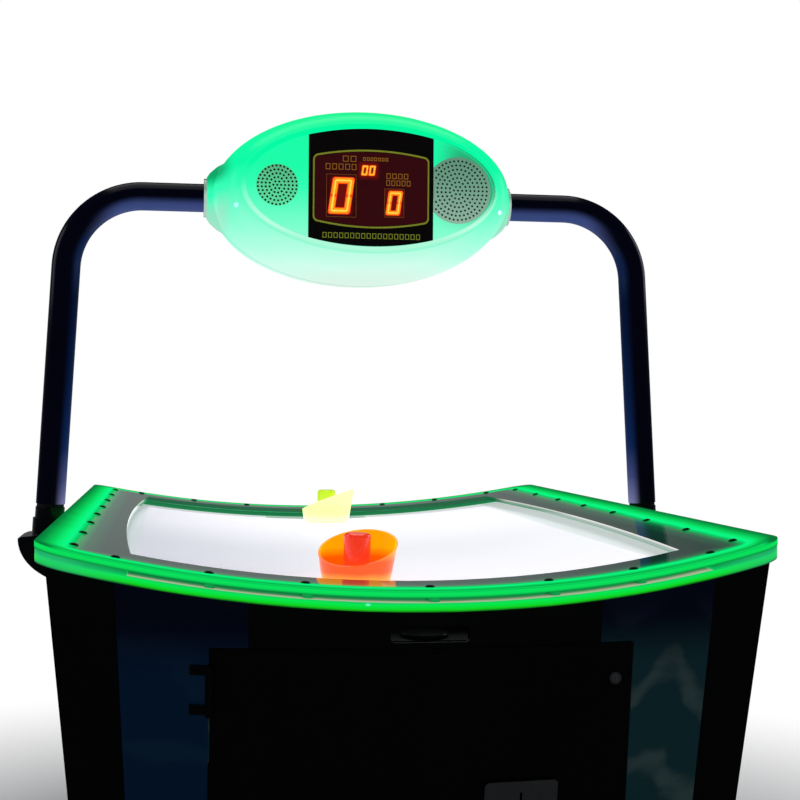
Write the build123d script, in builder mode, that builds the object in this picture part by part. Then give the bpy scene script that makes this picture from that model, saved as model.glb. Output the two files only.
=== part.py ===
"""Coin-operated air hockey table with a trough-shaped playfield, a lit rim and a scoreboard arch.

Frame: origin on the floor under the middle of the table, +X across the table to the right as the
near player sees it, +Y along the table to the far player, +Z up. Millimetres.
"""
import math
import os

from build123d import *

os.makedirs("parts", exist_ok=True)

# ---------------------------------------------------------------- driving dimensions
RIM_WIDTH = 1200.0          # across the lit rim
RIM_LENGTH = 1750.0         # rim corner to rim corner, along the table
END_BULGE = 108.0           # how far each end swells out past its corners
SAG = 67.0                  # how far the middle of the trough lies below the long edges
RIM_HEIGHT = 800.0          # top of the cover plate above the floor, on the centre line

COVER_THICK = 10.0          # smoked cover plate
RIM_SLOT = 7.0              # open slot between the cover plate and the light ring
RIM_DEPTH = 31.0            # cover plate, slot and light ring together
PLAY_DROP = 27.0            # playing surface below the top of the cover plate
PLAY_THICK = 12.0
RING_WIDTH = 62.0           # light ring, from the rim's edge inwards
SPACER_REACH = 40.0         # slot spacers, from the screw out towards the rim's edge
SPACER_WIDTH = 16.0
RAIL_THICK = 8.0
SCREW_INSET = 57.0          # cover screws, from the rim's edge inwards
CORNER_RADIUS = 75.0

WINDOW_HALF_X = 456.0       # half width of the cover window at its corners
WINDOW_SWELL_X = 25.0       # how far its long edges bow outwards
WINDOW_HALF_Y = 842.0       # half length of the cover window on the centre line
WINDOW_SWELL_Y = 77.0       # how far its short edges bow outwards
GOAL_HALF = 140.0           # half width of the goal mouth
GOAL_DEPTH = 84.0           # goal mouth along the table, wide enough for the puck

WALL = 18.0                 # cabinet board
CABINET_HALF = 582.0        # half width of the cabinet under the long edges
CABINET_INSET = 25.0        # cabinet end wall behind the rim's end, at the rim
TAPER = math.radians(8.3)   # the end walls lean inwards going down ...
SIDE_TAPER = math.radians(5.4)  # ... and the long walls lean less
CABINET_FOOT = 120.0        # lower edge of the cabinet walls
PLINTH_LOW = 42.0
POST_EDGE = 480.0           # inner edge of the corner posts at the rim
POST_EDGE_LEAN = math.radians(3.0)
POST_SIDE = 120.0           # corner post along the long wall

HATCH_HALF = 275.0          # upper black panel with the puck return
DOOR_HALF = 333.0
DOOR_TOP = RIM_HEIGHT - 92.0
DOOR_LOW = 250.0
DOOR_THICK = 3.0
LOCK_X = 302.0
LOCK_Z = RIM_HEIGHT - 149.0

TUBE = 60.0                 # arch tube
TUBE_WALL = 3.0
ARCH_FOOT_X = 648.7         # tube centre at rim height
ARCH_LEAN = 0.0542          # inward lean, width per height
ARCH_TOP = RIM_HEIGHT + 721.0
ARCH_BEND = 160.0
JOINT_RISE = 63.0           # joint ring above rim height
JOINT_GAP = 7.0

SIGN_HALF_X = 316.0
SIGN_HALF_Z = 182.0
SIGN_HALF_Y = 215.0
FACE_INSET = 60.0           # front face oval, inside the widest outline
SIGN_SHELL = 4.0
COLLAR_END = 332.0

MALLET_BASE = 59.0
MALLET_FLARE = math.radians(9.5)
MALLET_LOW = 29.0
MALLET_HIGH = 83.0
MALLET_WALL = 3.5
KNOB_RADIUS = 23.5
KNOB_HEIGHT = 83.0
PUCK_RADIUS = 38.0
PUCK_THICK = 6.0

SCREW_HOLE = 3.3
SCREW_HEAD = 7.5
SCREW_FLANGE = 1.5          # the head's flange, and the dome above it
SIDE_SCREWS = 8
SIDE_SCREW_REACH = 785.0
END_SCREW_X = (-476.0, -335.0, -190.0, 0.0, 190.0, 335.0, 476.0)
PAD_X = 457.0               # the slot is closed by pads outside this half width ...
PAD_Y = 760.0               # ... where it is also outside this half length
LED_INSET = 16.0
LED_WIDTH = 14.0
LED_DEPTH = 6.0
DECK_DROP = RIM_DEPTH + 8.5
DECK_THICK = 15.0
PLENUM_LOW = 660.0
PLENUM_X = 440.0
PLENUM_Y = 720.0
RETURN_HALF = 62.0          # puck return opening
RETURN_LOW = DOOR_TOP + 9.0
RETURN_HIGH = DOOR_TOP + 34.0
HINGE_STAND = 8.2
HINGE_PIN = 4.0
HINGE_BARREL = 6.5
KNUCKLE = 46.0
HINGE_REACH = 165.0
LOCK_BODY = 7.5
LOCK_FACE = 9.5
LOCK_CORE = 5.5
CAM_DEPTH = 33.0            # cam behind the door's outer face, clear of the wall's inner face
CAM_REACH = 52.0
FOOT_STEM = 6.0
FOOT_X = 380.0
FOOT_Y = 700.0
BLOWER_Y = 90.0
BLOWER_PORT = 70.0
BLOWER_LOW = 470.0
BASE_GAP = 4.0              # bottom board clear of the long walls
INLET_Y = 560.0
INLET_Z = 190.0
COIN_X = 150.0
COIN_Z = 420.0
COIN_WIDE = 120.0
COIN_TALL = 150.0
BUTTON_HALF = 11.0
LUG_HALF = 70.0
LUG_X = 704.0
LUG_TOP = RIM_HEIGHT + 3.0
LUG_LOW = RIM_HEIGHT - 95.0
TUBE_INNER_END = 250.0
FACE_HALF_X = SIGN_HALF_X - FACE_INSET - 4
FACE_HALF_Z = SIGN_HALF_Z - FACE_INSET - 2
FACE_RECESS = 3.0
COLLAR_RADIUS = 41.0
COLLAR_GAP = 0.2
SMALL_SPEAKER_X = 190.0
LARGE_SPEAKER_X = 180.0
SMALL_SPEAKER = 40.0
LARGE_SPEAKER = 66.0
COLLAR_LENGTH = 26.0
DISPLAY_HALF_X = 127.5
DISPLAY_HALF_Z = 103.5
DISPLAY_ARCH = 16.5
DISPLAY_THICK = 3.5
SPINE_RADIUS = TUBE / 2 - TUBE_WALL - 0.3
FRAME_X = 105.0
SIGN_SCREWS = ((-271.0, -40.0), (271.0, -40.0))
NEAR_MALLET = (-79.0, -645.0, 62.0)     # x, y, direction of the cup's high side
FAR_MALLET = (12.0, 720.0, -25.0)
FELT = 1.5
MALLET_LIFT = 1.0                        # the flat base spans the trough's hollow
KNOB_SCREW = 9.0

# ---------------------------------------------------------------- derived geometry
CLEAR = 0.5                 # gap between neighbouring boards
TROUGH = ((RIM_WIDTH / 2) ** 2 + SAG ** 2) / (2 * SAG)
TROUGH_AXIS = RIM_HEIGHT + TROUGH
END_RADIUS = ((RIM_WIDTH / 2) ** 2 + END_BULGE ** 2) / (2 * END_BULGE)
HALF_LENGTH = RIM_LENGTH / 2 + END_BULGE
END_CENTRE = HALF_LENGTH - END_RADIUS
RAIL_OUTER = RING_WIDTH + CLEAR
RAIL_INNER = RAIL_OUTER + RAIL_THICK
LEAN = math.tan(TAPER)
SIDE_LEAN = math.tan(SIDE_TAPER)
SPAN = 2 * HALF_LENGTH      # longer than any cut through the table


def trough_z(x, drop):
    """Height of the trough surface that lies drop below the top of the cover plate."""
    return TROUGH_AXIS - math.sqrt((TROUGH + drop) ** 2 - x ** 2)


def end_y(x, inset):
    """Distance from the middle of the table to the end curve, inset from the rim's edge."""
    return END_CENTRE + math.sqrt((END_RADIUS - inset) ** 2 - x ** 2)


WALL_TOP = trough_z(CABINET_HALF, RIM_DEPTH + CLEAR)


def plan_outline(inset, corner, height=0.0):
    """Sketch of the table's plan, inset from the rim's edge, with rounded corners."""
    half = RIM_WIDTH / 2 - inset
    side = end_y(half, inset)
    tip = end_y(0, inset)
    with BuildSketch(Plane.XY.offset(height)) as plan:
        with BuildLine():
            ThreePointArc((-half, side), (0, tip), (half, side))
            Line((half, side), (half, -side))
            ThreePointArc((half, -side), (0, -tip), (-half, -side))
            Line((-half, -side), (-half, side))
        make_face()
        fillet(plan.vertices(), corner)
    return plan.sketch


def window_outline(grow=0.0):
    """Sketch of the window in the cover plate, with four bowed edges."""
    half_x = WINDOW_HALF_X + grow
    half_y = WINDOW_HALF_Y - WINDOW_SWELL_Y + grow
    bow_x = half_x + WINDOW_SWELL_X
    bow_y = half_y + WINDOW_SWELL_Y
    with BuildSketch() as window:
        with BuildLine():
            ThreePointArc((-half_x, half_y), (0, bow_y), (half_x, half_y))
            ThreePointArc((half_x, half_y), (bow_x, 0), (half_x, -half_y))
            ThreePointArc((half_x, -half_y), (0, -bow_y), (-half_x, -half_y))
            ThreePointArc((-half_x, -half_y), (-bow_x, 0), (-half_x, half_y))
        make_face()
        fillet(window.vertices(), 4)
    return window.sketch


def trough_band(top_drop, low_drop):
    """Keep only the layer between two trough surfaces of the part being built."""
    half = RIM_WIDTH / 2 + CORNER_RADIUS
    with BuildSketch(Plane.XZ) as band:
        with BuildLine():
            ThreePointArc((-half, trough_z(half, top_drop)), (0, trough_z(0, top_drop)),
                          (half, trough_z(half, top_drop)))
            Line((half, trough_z(half, top_drop)), (half, trough_z(half, low_drop)))
            ThreePointArc((half, trough_z(half, low_drop)), (0, trough_z(0, low_drop)),
                          (-half, trough_z(half, low_drop)))
            Line((-half, trough_z(half, low_drop)), (-half, trough_z(half, top_drop)))
        make_face()
    extrude(band.sketch, amount=SPAN, both=True, mode=Mode.INTERSECT)


def tall_plan(inset, corner, mode=Mode.ADD):
    """Upright prism of the table's plan, tall enough for every trough layer."""
    extrude(plan_outline(inset, corner), amount=2 * RIM_HEIGHT, mode=mode)


def cabinet_half(z, inset=0.0):
    """Half width of the cabinet's long walls at a height, inset from their outer face."""
    return CABINET_HALF - inset - (WALL_TOP - z) * SIDE_LEAN


def cabinet_elevation(inset, low=CABINET_FOOT, top_drop=RIM_DEPTH + CLEAR):
    """Sketch of the cabinet seen from an end: leaning sides under the trough-shaped top."""
    top_z = WALL_TOP
    for _ in range(4):
        half_top = cabinet_half(top_z, inset)
        top_z = trough_z(half_top, top_drop)
    half_low = cabinet_half(low, inset)
    with BuildSketch(Plane.XZ) as elevation:
        with BuildLine():
            ThreePointArc((-half_top, top_z), (0, trough_z(0, top_drop)), (half_top, top_z))
            Line((half_top, top_z), (half_low, low))
            Line((half_low, low), (-half_low, low))
            Line((-half_low, low), (-half_top, top_z))
        make_face()
    return elevation.sketch


def end_wall_band(side, outer_inset, inner_inset):
    """Leaning, bowed end wall between two insets; side is -1 near, +1 far."""
    half = RIM_WIDTH / 2
    top = RIM_HEIGHT + SAG
    with BuildSketch(Plane.XY.offset(top)) as band:
        with BuildLine():
            ThreePointArc((-half, side * end_y(half, outer_inset)), (0, side * end_y(0, outer_inset)),
                          (half, side * end_y(half, outer_inset)))
            Line((half, side * end_y(half, outer_inset)), (half, side * end_y(half, inner_inset)))
            ThreePointArc((half, side * end_y(half, inner_inset)), (0, side * end_y(0, inner_inset)),
                          (-half, side * end_y(half, inner_inset)))
            Line((-half, side * end_y(half, inner_inset)), (-half, side * end_y(half, outer_inset)))
        make_face()
    extrude(band.sketch, amount=top / math.cos(TAPER), dir=(0, -side * LEAN, -1))


def wall_inset(z):
    """Inset of the end wall's outer face from the rim's edge, at a height."""
    return CABINET_INSET + (RIM_HEIGHT + SAG - z) * LEAN


def wall_y(x, z):
    """Distance from the middle of the table to the end wall's outer face."""
    return end_y(x, CABINET_INSET) - (RIM_HEIGHT + SAG - z) * LEAN


def lathe(points, axis_point=(0.0, 0.0)):
    """Solid of revolution about a vertical line, from (radius, height) corners."""
    x0, y0 = axis_point
    with BuildSketch(Plane(origin=(x0, y0, 0), x_dir=(1, 0, 0), z_dir=(0, -1, 0))) as profile:
        with BuildLine():
            Polyline(*points, close=True)
        make_face()
    revolve(profile.sketch, axis=Axis((x0, y0, 0), (0, 0, 1)))


def save(built, name):
    """Label a finished piece and write its STEP file."""
    built.part.label = name
    export_step(built.part, f"parts/{name}.step")


# ================================================================ top of the table
def build_cover_plate():
    """Smoked clear plate bent to the trough, with the play window and the screw holes."""
    with BuildPart() as cover_plate:
        tall_plan(0, CORNER_RADIUS)
        extrude(window_outline(), amount=2 * RIM_HEIGHT, mode=Mode.SUBTRACT)
        trough_band(0, COVER_THICK)
        screw_holes()
    save(cover_plate, "cover_plate")


def screw_places():
    """Plan positions of the cover screws: two long rows and two bowed end rows."""
    pitch = 2 * SIDE_SCREW_REACH / (SIDE_SCREWS - 1)
    side_x = RIM_WIDTH / 2 - SCREW_INSET
    places = [(s * side_x, -SIDE_SCREW_REACH + i * pitch) for s in (-1, 1) for i in range(SIDE_SCREWS)]
    places += [(x, s * end_y(x, SCREW_INSET)) for s in (-1, 1) for x in END_SCREW_X]
    return places


def trough_plane(x, y, drop):
    """Plane on a trough surface, with its normal pointing straight out of the trough."""
    slope = math.asin(x / (TROUGH + drop))
    return Plane(origin=(x, y, trough_z(x, drop)), x_dir=(math.cos(slope), 0, math.sin(slope)),
                 z_dir=(-math.sin(slope), 0, math.cos(slope)))


def screw_holes():
    """Drill the part being built square to the trough at every cover screw."""
    for x, y in screw_places():
        with BuildSketch(trough_plane(x, y, 0).offset(COVER_THICK)) as hole:
            Circle(SCREW_HOLE)
        extrude(hole.sketch, amount=-2 * RIM_DEPTH, mode=Mode.SUBTRACT)


def build_cover_screws():
    """Domed cap screws through the cover plate, one solid each."""
    with BuildPart() as cover_screws:
        for x, y in screw_places():
            seat = trough_plane(x, y, 0)
            with BuildSketch(seat.offset(0.1)):
                Circle(SCREW_HEAD)
            extrude(amount=SCREW_FLANGE)
            with BuildSketch(seat.offset(0.1 + SCREW_FLANGE)):
                Circle(0.75 * SCREW_HEAD)
            extrude(amount=SCREW_FLANGE, taper=25)
            with BuildSketch(seat.offset(0.1)):
                Circle(SCREW_HOLE - 0.6)
            extrude(amount=-(RIM_DEPTH - 4))
    save(cover_screws, "cover_screws")


def build_spacers():
    """Pads that hold the cover plate off the light ring, from each screw out towards the rim's edge."""
    with BuildPart() as cover_spacers:
        for x, y in screw_places():
            if abs(x) < PAD_X or abs(y) < PAD_Y:
                on_side = abs(x) > max(END_SCREW_X)
                shift_x = math.copysign(SPACER_REACH / 2, x) if on_side else 0
                shift_y = 0 if on_side else math.copysign(SPACER_REACH / 2, y)
                with BuildSketch():
                    with Locations((x + shift_x, y + shift_y)):
                        SlotCenterToCenter(SPACER_REACH, SPACER_WIDTH, rotation=0 if on_side else 90)
                extrude(amount=2 * RIM_HEIGHT)
        tall_plan(RING_WIDTH, 2, mode=Mode.SUBTRACT)
        trough_band(COVER_THICK + 0.1, COVER_THICK + RIM_SLOT - 0.1)
        screw_holes()
    save(cover_spacers, "cover_spacers")


def slot_space():
    """The open slot between the cover plate and the light ring, with its closed corners left out."""
    with BuildPart() as slot:
        with BuildSketch():
            Rectangle(SPAN, 2 * PAD_Y)
            Rectangle(2 * PAD_X, SPAN)
        extrude(amount=2 * RIM_HEIGHT)
        trough_band(0, COVER_THICK + RIM_SLOT)
    return slot.part


def led_pocket():
    """Groove in the underside of the light ring."""
    with BuildPart() as pocket:
        tall_plan(LED_INSET, CORNER_RADIUS - LED_INSET)
        tall_plan(LED_INSET + LED_WIDTH, CORNER_RADIUS - LED_INSET - LED_WIDTH, mode=Mode.SUBTRACT)
        trough_band(RIM_DEPTH - LED_DEPTH, RIM_DEPTH + 1)
    return pocket.part


def build_light_ring():
    """Translucent ring under the cover plate, with pads that close the slot at the corners."""
    slot = slot_space()
    pocket = led_pocket()
    with BuildPart() as light_ring:
        tall_plan(0.5, CORNER_RADIUS)
        tall_plan(RING_WIDTH, 2, mode=Mode.SUBTRACT)
        trough_band(COVER_THICK + 0.1, RIM_DEPTH)
        add(slot, mode=Mode.SUBTRACT)
        add(pocket, mode=Mode.SUBTRACT)
        screw_holes()
    save(light_ring, "light_ring")


def build_rim_leds():
    """Strip of lamps in the pocket on the underside of the light ring."""
    with BuildPart() as rim_leds:
        tall_plan(LED_INSET + 1, CORNER_RADIUS - LED_INSET - 1)
        tall_plan(LED_INSET + LED_WIDTH - 1, CORNER_RADIUS - LED_INSET - LED_WIDTH + 1, mode=Mode.SUBTRACT)
        trough_band(RIM_DEPTH - LED_DEPTH + 1, RIM_DEPTH - 1)
    save(rim_leds, "rim_leds")


def goal_mouths(grow=0.0):
    """Upright blocks over both goal mouths."""
    tip = end_y(0, RAIL_INNER)
    with BuildSketch() as mouths:
        with Locations((0, tip - GOAL_DEPTH / 2), (0, -tip + GOAL_DEPTH / 2)):
            Rectangle(2 * (GOAL_HALF + grow), GOAL_DEPTH + 2 * grow)
    extrude(mouths.sketch, amount=2 * RIM_HEIGHT, mode=Mode.SUBTRACT)


def build_playfield():
    """White playing board, bent to the trough, with a goal mouth at each end."""
    with BuildPart() as playfield:
        tall_plan(RAIL_OUTER, 2)
        trough_band(PLAY_DROP, PLAY_DROP + PLAY_THICK)
        goal_mouths()
    save(playfield, "playfield")


def build_rails():
    """Upright rails round the playing board, under the cover plate."""
    corner_cut = end_y(RIM_WIDTH / 2 - RAIL_INNER, RAIL_INNER) - 4
    with BuildPart() as side_rails:
        with BuildSketch():
            for s in (-1, 1):
                with Locations((s * (RIM_WIDTH / 2 - RAIL_OUTER - RAIL_THICK / 2), 0)):
                    Rectangle(RAIL_THICK, 2 * corner_cut)
        extrude(amount=2 * RIM_HEIGHT)
        trough_band(COVER_THICK + 0.2, PLAY_DROP - 0.2)
    save(side_rails, "side_rails")
    with BuildPart() as end_rails:
        tall_plan(RAIL_OUTER, 2)
        tall_plan(RAIL_INNER, 2, mode=Mode.SUBTRACT)
        trough_band(COVER_THICK + 0.2, PLAY_DROP - 0.2)
        with BuildSketch():
            Rectangle(RIM_WIDTH, 2 * corner_cut + 1)
        extrude(amount=2 * RIM_HEIGHT, mode=Mode.SUBTRACT)
    save(end_rails, "end_rails")


def build_deck():
    """Board frame under the playing board, light ring and rails, inside the cabinet walls."""
    with BuildPart() as deck_frame:
        tall_plan(wall_inset(trough_z(0, DECK_DROP + DECK_THICK)) + WALL + 1, 4)
        trough_band(DECK_DROP, DECK_DROP + DECK_THICK)
        with BuildSketch():
            Rectangle(2 * (PLENUM_X + WALL), 2 * (PLENUM_Y + WALL))
        extrude(amount=2 * RIM_HEIGHT, mode=Mode.SUBTRACT)
        goal_mouths(grow=WALL)
    save(deck_frame, "deck_frame")


def build_plenum():
    """Open-topped air box under the playing board, with the blower's port in its floor."""
    top_drop = PLAY_DROP + PLAY_THICK + 0.5
    with BuildPart() as plenum_box:
        with BuildSketch(Plane.XY.offset(PLENUM_LOW)):
            Rectangle(2 * (PLENUM_X + WALL - 1), 2 * (PLENUM_Y + WALL - 1))
        extrude(amount=2 * SAG + RIM_DEPTH + SAG)
        with BuildSketch(Plane.XY.offset(PLENUM_LOW + WALL / 2)):
            Rectangle(2 * PLENUM_X, 2 * PLENUM_Y)
        extrude(amount=RIM_HEIGHT, mode=Mode.SUBTRACT)
        with BuildSketch(Plane.XZ):
            with BuildLine():
                half = PLENUM_X + WALL
                ThreePointArc((-half, trough_z(half, top_drop)), (0, trough_z(0, top_drop)),
                              (half, trough_z(half, top_drop)))
                Line((half, trough_z(half, top_drop)), (half, 0))
                Line((half, 0), (-half, 0))
                Line((-half, 0), (-half, trough_z(half, top_drop)))
            make_face()
        extrude(amount=SPAN, both=True, mode=Mode.INTERSECT)
        with BuildSketch(Plane.XY.offset(PLENUM_LOW)):
            with Locations((0, BLOWER_Y)):
                Circle(BLOWER_PORT)
        extrude(amount=WALL, mode=Mode.SUBTRACT)
    save(plenum_box, "plenum_box")


# ================================================================ cabinet
def keep_elevation(inset, low=CABINET_FOOT, top_drop=RIM_DEPTH + CLEAR):
    """Trim the part being built to the cabinet's leaning outline seen from an end."""
    extrude(cabinet_elevation(inset, low, top_drop), amount=SPAN, both=True, mode=Mode.INTERSECT)


def post_strip(grow=0.0):
    """Sketch of the end elevation between the two corner posts."""
    top = RIM_HEIGHT + SAG
    half_low = POST_EDGE - grow - top * math.tan(POST_EDGE_LEAN)
    with BuildSketch(Plane.XZ) as strip:
        with BuildLine():
            Polyline((-POST_EDGE + grow, top), (POST_EDGE - grow, top), (half_low, 0),
                     (-half_low, 0), close=True)
        make_face()
    return strip.sketch


def end_wall(side, outer=CABINET_INSET, thick=WALL):
    """End wall trimmed to the cabinet's outline."""
    end_wall_band(side, outer, outer + thick)
    keep_elevation(0)


def side_wall_length(z):
    """Half length of the cabinet inside its end walls, at its corner."""
    return end_y(CABINET_HALF, wall_inset(z) + WALL)


def side_panel_half():
    """Half length of the long artwork boards."""
    return side_wall_length(CABINET_FOOT) - POST_SIDE


def cabinet_sleeve(half_length):
    """The two leaning long walls, as one sleeve's sides of a given half length."""
    with BuildPart() as inside:
        extrude(cabinet_elevation(WALL, low=0, top_drop=0), amount=SPAN, both=True)
    with BuildPart() as sleeve:
        extrude(cabinet_elevation(0), amount=half_length, both=True)
        add(inside.part, mode=Mode.SUBTRACT)
    return sleeve.part


def build_side_panels():
    """Two long artwork boards between the corner posts."""
    with BuildPart() as side_panels:
        add(cabinet_sleeve(side_panel_half()))
    save(side_panels, "side_panels")


def corner_returns(side):
    """Ends of the long walls that belong to the corner posts at one end."""
    with BuildPart() as reach:
        end_wall_band(side, CABINET_INSET, RIM_LENGTH / 2)
        with BuildSketch():
            with Locations((0, side * (side_panel_half() + CLEAR + SPAN / 2))):
                Rectangle(SPAN, SPAN)
        extrude(amount=2 * RIM_HEIGHT, mode=Mode.INTERSECT)
        add(cabinet_sleeve(SPAN), mode=Mode.INTERSECT)
    return reach.part


def build_corner_posts():
    """Four corner posts, each a folded corner of end wall and long wall."""
    returns = [corner_returns(side) for side in (-1, 1)]
    with BuildPart() as corner_posts:
        for side in (-1, 1):
            end_wall_band(side, CABINET_INSET, CABINET_INSET + WALL)
        keep_elevation(0)
        extrude(post_strip(-CLEAR), amount=SPAN, both=True, mode=Mode.SUBTRACT)
        for part in returns:
            add(part)
    save(corner_posts, "corner_posts")


def build_end_panels():
    """Bowed artwork boards at both ends, cut out for the hatch and the door."""
    with BuildPart() as end_panels:
        for side in (-1, 1):
            end_wall_band(side, CABINET_INSET, CABINET_INSET + WALL)
        keep_elevation(0)
        extrude(post_strip(), amount=SPAN, both=True, mode=Mode.INTERSECT)
        with BuildSketch(Plane.XZ):
            with Locations((0, DOOR_TOP + SPAN / 2)):
                Rectangle(2 * (HATCH_HALF + CLEAR), SPAN)
            with Locations((0, (DOOR_TOP + DOOR_LOW) / 2)):
                Rectangle(2 * (DOOR_HALF + 1), DOOR_TOP - DOOR_LOW + 2)
        extrude(amount=SPAN, both=True, mode=Mode.SUBTRACT)
    save(end_panels, "end_panels")


def build_hatches():
    """Upper black panel at each end, with the puck return opening in it."""
    for side, name in ((-1, "near_hatch"), (1, "far_hatch")):
        with BuildPart() as hatch:
            end_wall(side, outer=CABINET_INSET - 2, thick=8)
            with BuildSketch(Plane.XZ):
                with Locations((0, DOOR_TOP + CLEAR + SPAN / 2)):
                    Rectangle(2 * HATCH_HALF, SPAN)
            extrude(amount=SPAN, both=True, mode=Mode.INTERSECT)
            with BuildSketch(Plane.XZ) as opening:
                with Locations((0, (RETURN_LOW + RETURN_HIGH) / 2)):
                    Rectangle(2 * RETURN_HALF, RETURN_HIGH - RETURN_LOW)
                fillet(opening.vertices(), 8)
            extrude(amount=SPAN, both=True, mode=Mode.SUBTRACT)
        save(hatch, name)


def chute_end():
    """Distance from the middle of the table to the outer end of a goal chute."""
    return wall_y(GOAL_HALF, DOOR_TOP) - 10.0


def build_goal_chutes():
    """Tray under each goal mouth, out to the puck return, with a lip that stops the puck."""
    floor_low = RETURN_LOW + 0.2
    outer = chute_end()
    inner = end_y(0, RAIL_INNER) - GOAL_DEPTH - 6.0
    middle = (outer + inner) / 2
    with BuildPart() as chutes:
        with BuildSketch(Plane.XY.offset(floor_low - 3)):
            with Locations((0, middle), (0, -middle)):
                Rectangle(2 * (GOAL_HALF + 8), outer - inner)
        extrude(amount=trough_z(0, PLAY_DROP + PLAY_THICK) - floor_low + 2)
        with BuildSketch(Plane.XY.offset(floor_low)):
            with Locations((0, middle), (0, -middle)):
                Rectangle(2 * (GOAL_HALF + 5), outer - inner - 6)
        extrude(amount=RIM_HEIGHT, mode=Mode.SUBTRACT)
        with BuildSketch(Plane.XY.offset(floor_low)):
            Rectangle(2 * RETURN_HALF, SPAN)
        extrude(amount=RETURN_HIGH - floor_low, mode=Mode.SUBTRACT)
    save(chutes, "goal_chutes")


def hinge_line(side):
    """Point and direction of a door's hinge axis: along the wall, at the door's hinge edge."""
    hand = side
    x = hand * DOOR_HALF
    z = (DOOR_TOP + DOOR_LOW) / 2
    y = side * (wall_y(x, z) + HINGE_STAND)
    return Vector(x, y, z), Vector(0, -side * LEAN, -1).normalized()


def hinge_barrels(side, radius, spans, mode=Mode.ADD):
    """Round barrels on the hinge line of one door, between pairs of distances along it."""
    point, along = hinge_line(side)
    for low, high in spans:
        start = point + along * low
        with BuildSketch(Plane(origin=start, x_dir=(1, 0, 0), z_dir=along)) as ring:
            Circle(radius)
        extrude(ring.sketch, amount=high - low, mode=mode)


def hinge_leaves(side, centre, size, turn, spans):
    """Flat leaves beside the hinge line, between pairs of distances along it."""
    point, along = hinge_line(side)
    for low, high in spans:
        start = point + along * low
        with BuildSketch(Plane(origin=start, x_dir=(1, 0, 0), z_dir=along)) as leaf:
            with Locations(centre):
                Rectangle(*size, rotation=turn)
        extrude(leaf.sketch, amount=high - low)


def knuckle_spans(grow):
    """Stretches of the hinge line that the two door knuckles take."""
    return [(c - KNUCKLE / 2 - grow, c + KNUCKLE / 2 + grow) for c in (-HINGE_REACH, HINGE_REACH)]


def build_doors():
    """Steel door at each end, with its two hinge knuckles and the hole for the lock."""
    for side, name in ((-1, "near_door"), (1, "far_door")):
        hand = side
        with BuildPart() as door:
            end_wall_band(side, CABINET_INSET - 1, CABINET_INSET - 1 + DOOR_THICK)
            with BuildSketch(Plane.XZ):
                with Locations((0, (DOOR_TOP + DOOR_LOW) / 2)):
                    Rectangle(2 * (DOOR_HALF - 1), DOOR_TOP - DOOR_LOW - 2)
            extrude(amount=SPAN, both=True, mode=Mode.INTERSECT)
            hinge_barrels(side, HINGE_BARREL, knuckle_spans(0))
            hinge_leaves(side, (-hand * 8, side * 5.5), (14, 5), 0, knuckle_spans(0))
            hinge_barrels(side, HINGE_PIN + 0.06, knuckle_spans(1), mode=Mode.SUBTRACT)
            with BuildSketch(Plane.XZ):
                with Locations((-hand * LOCK_X, LOCK_Z)):
                    Circle(LOCK_BODY + 0.1)
            extrude(amount=SPAN, both=True, mode=Mode.SUBTRACT)
            if side < 0:
                with BuildSketch(Plane.XZ):
                    with Locations((COIN_X, COIN_Z)):
                        Rectangle(COIN_WIDE - 24, COIN_TALL - 24)
                extrude(amount=SPAN, both=True, mode=Mode.SUBTRACT)
        save(door, name)


def build_hinge_pins():
    """Fixed hinge leaves on both end walls: pins, end knuckles and the plate behind them."""
    with BuildPart() as hinge_pins:
        for side in (-1, 1):
            hand = side
            for centre in (-HINGE_REACH, HINGE_REACH):
                half = KNUCKLE / 2
                ends = [(centre - half - 16, centre - half - 0.4), (centre + half + 0.4, centre + half + 16)]
                hinge_barrels(side, HINGE_BARREL, ends)
                hinge_barrels(side, HINGE_PIN, [(centre - half - 14, centre + half + 14)])
                slope = math.degrees(math.asin(DOOR_HALF / END_RADIUS))
                hinge_leaves(side, (hand * 15, side * 9.4), (30, 3), slope, ends)
    save(hinge_pins, "door_hinges")


def lock_frame(side, depth=0.0):
    """Plane at the door lock's centre on the door's outer face, facing out of the door."""
    hand = side
    x = -hand * LOCK_X
    y = side * (wall_y(x, LOCK_Z) + 1 + depth)
    return Plane(origin=(x, y, LOCK_Z), x_dir=(1, 0, 0), z_dir=(0, side, 0))


def build_locks():
    """Cam lock in each door: a fixed barrel and the keyed core with its cam."""
    for side, name in ((-1, "near"), (1, "far")):
        with BuildPart() as barrel:
            with BuildSketch(lock_frame(side, 2.5)):
                Circle(LOCK_FACE)
            extrude(amount=2.5)
            with BuildSketch(lock_frame(side, 2.5)):
                Circle(LOCK_BODY)
            extrude(amount=-24)
            with BuildSketch(lock_frame(side, 6)):
                Circle(LOCK_CORE + 0.08)
            extrude(amount=-30, mode=Mode.SUBTRACT)
        save(barrel, f"{name}_lock_barrel")
        with BuildPart() as core:
            with BuildSketch(lock_frame(side, 4.6)):
                Circle(LOCK_CORE)
            extrude(amount=-CAM_DEPTH - 7)
            with BuildSketch(lock_frame(side, -CAM_DEPTH)):
                with Locations((0, CAM_REACH / 2 - 4)):
                    Rectangle(12, CAM_REACH + 8)
            extrude(amount=-2.5)
            with BuildSketch(lock_frame(side, 4.6)):
                Rectangle(1.6, 6.5)
            extrude(amount=-3, mode=Mode.SUBTRACT)
        save(core, f"{name}_lock_core")


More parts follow.
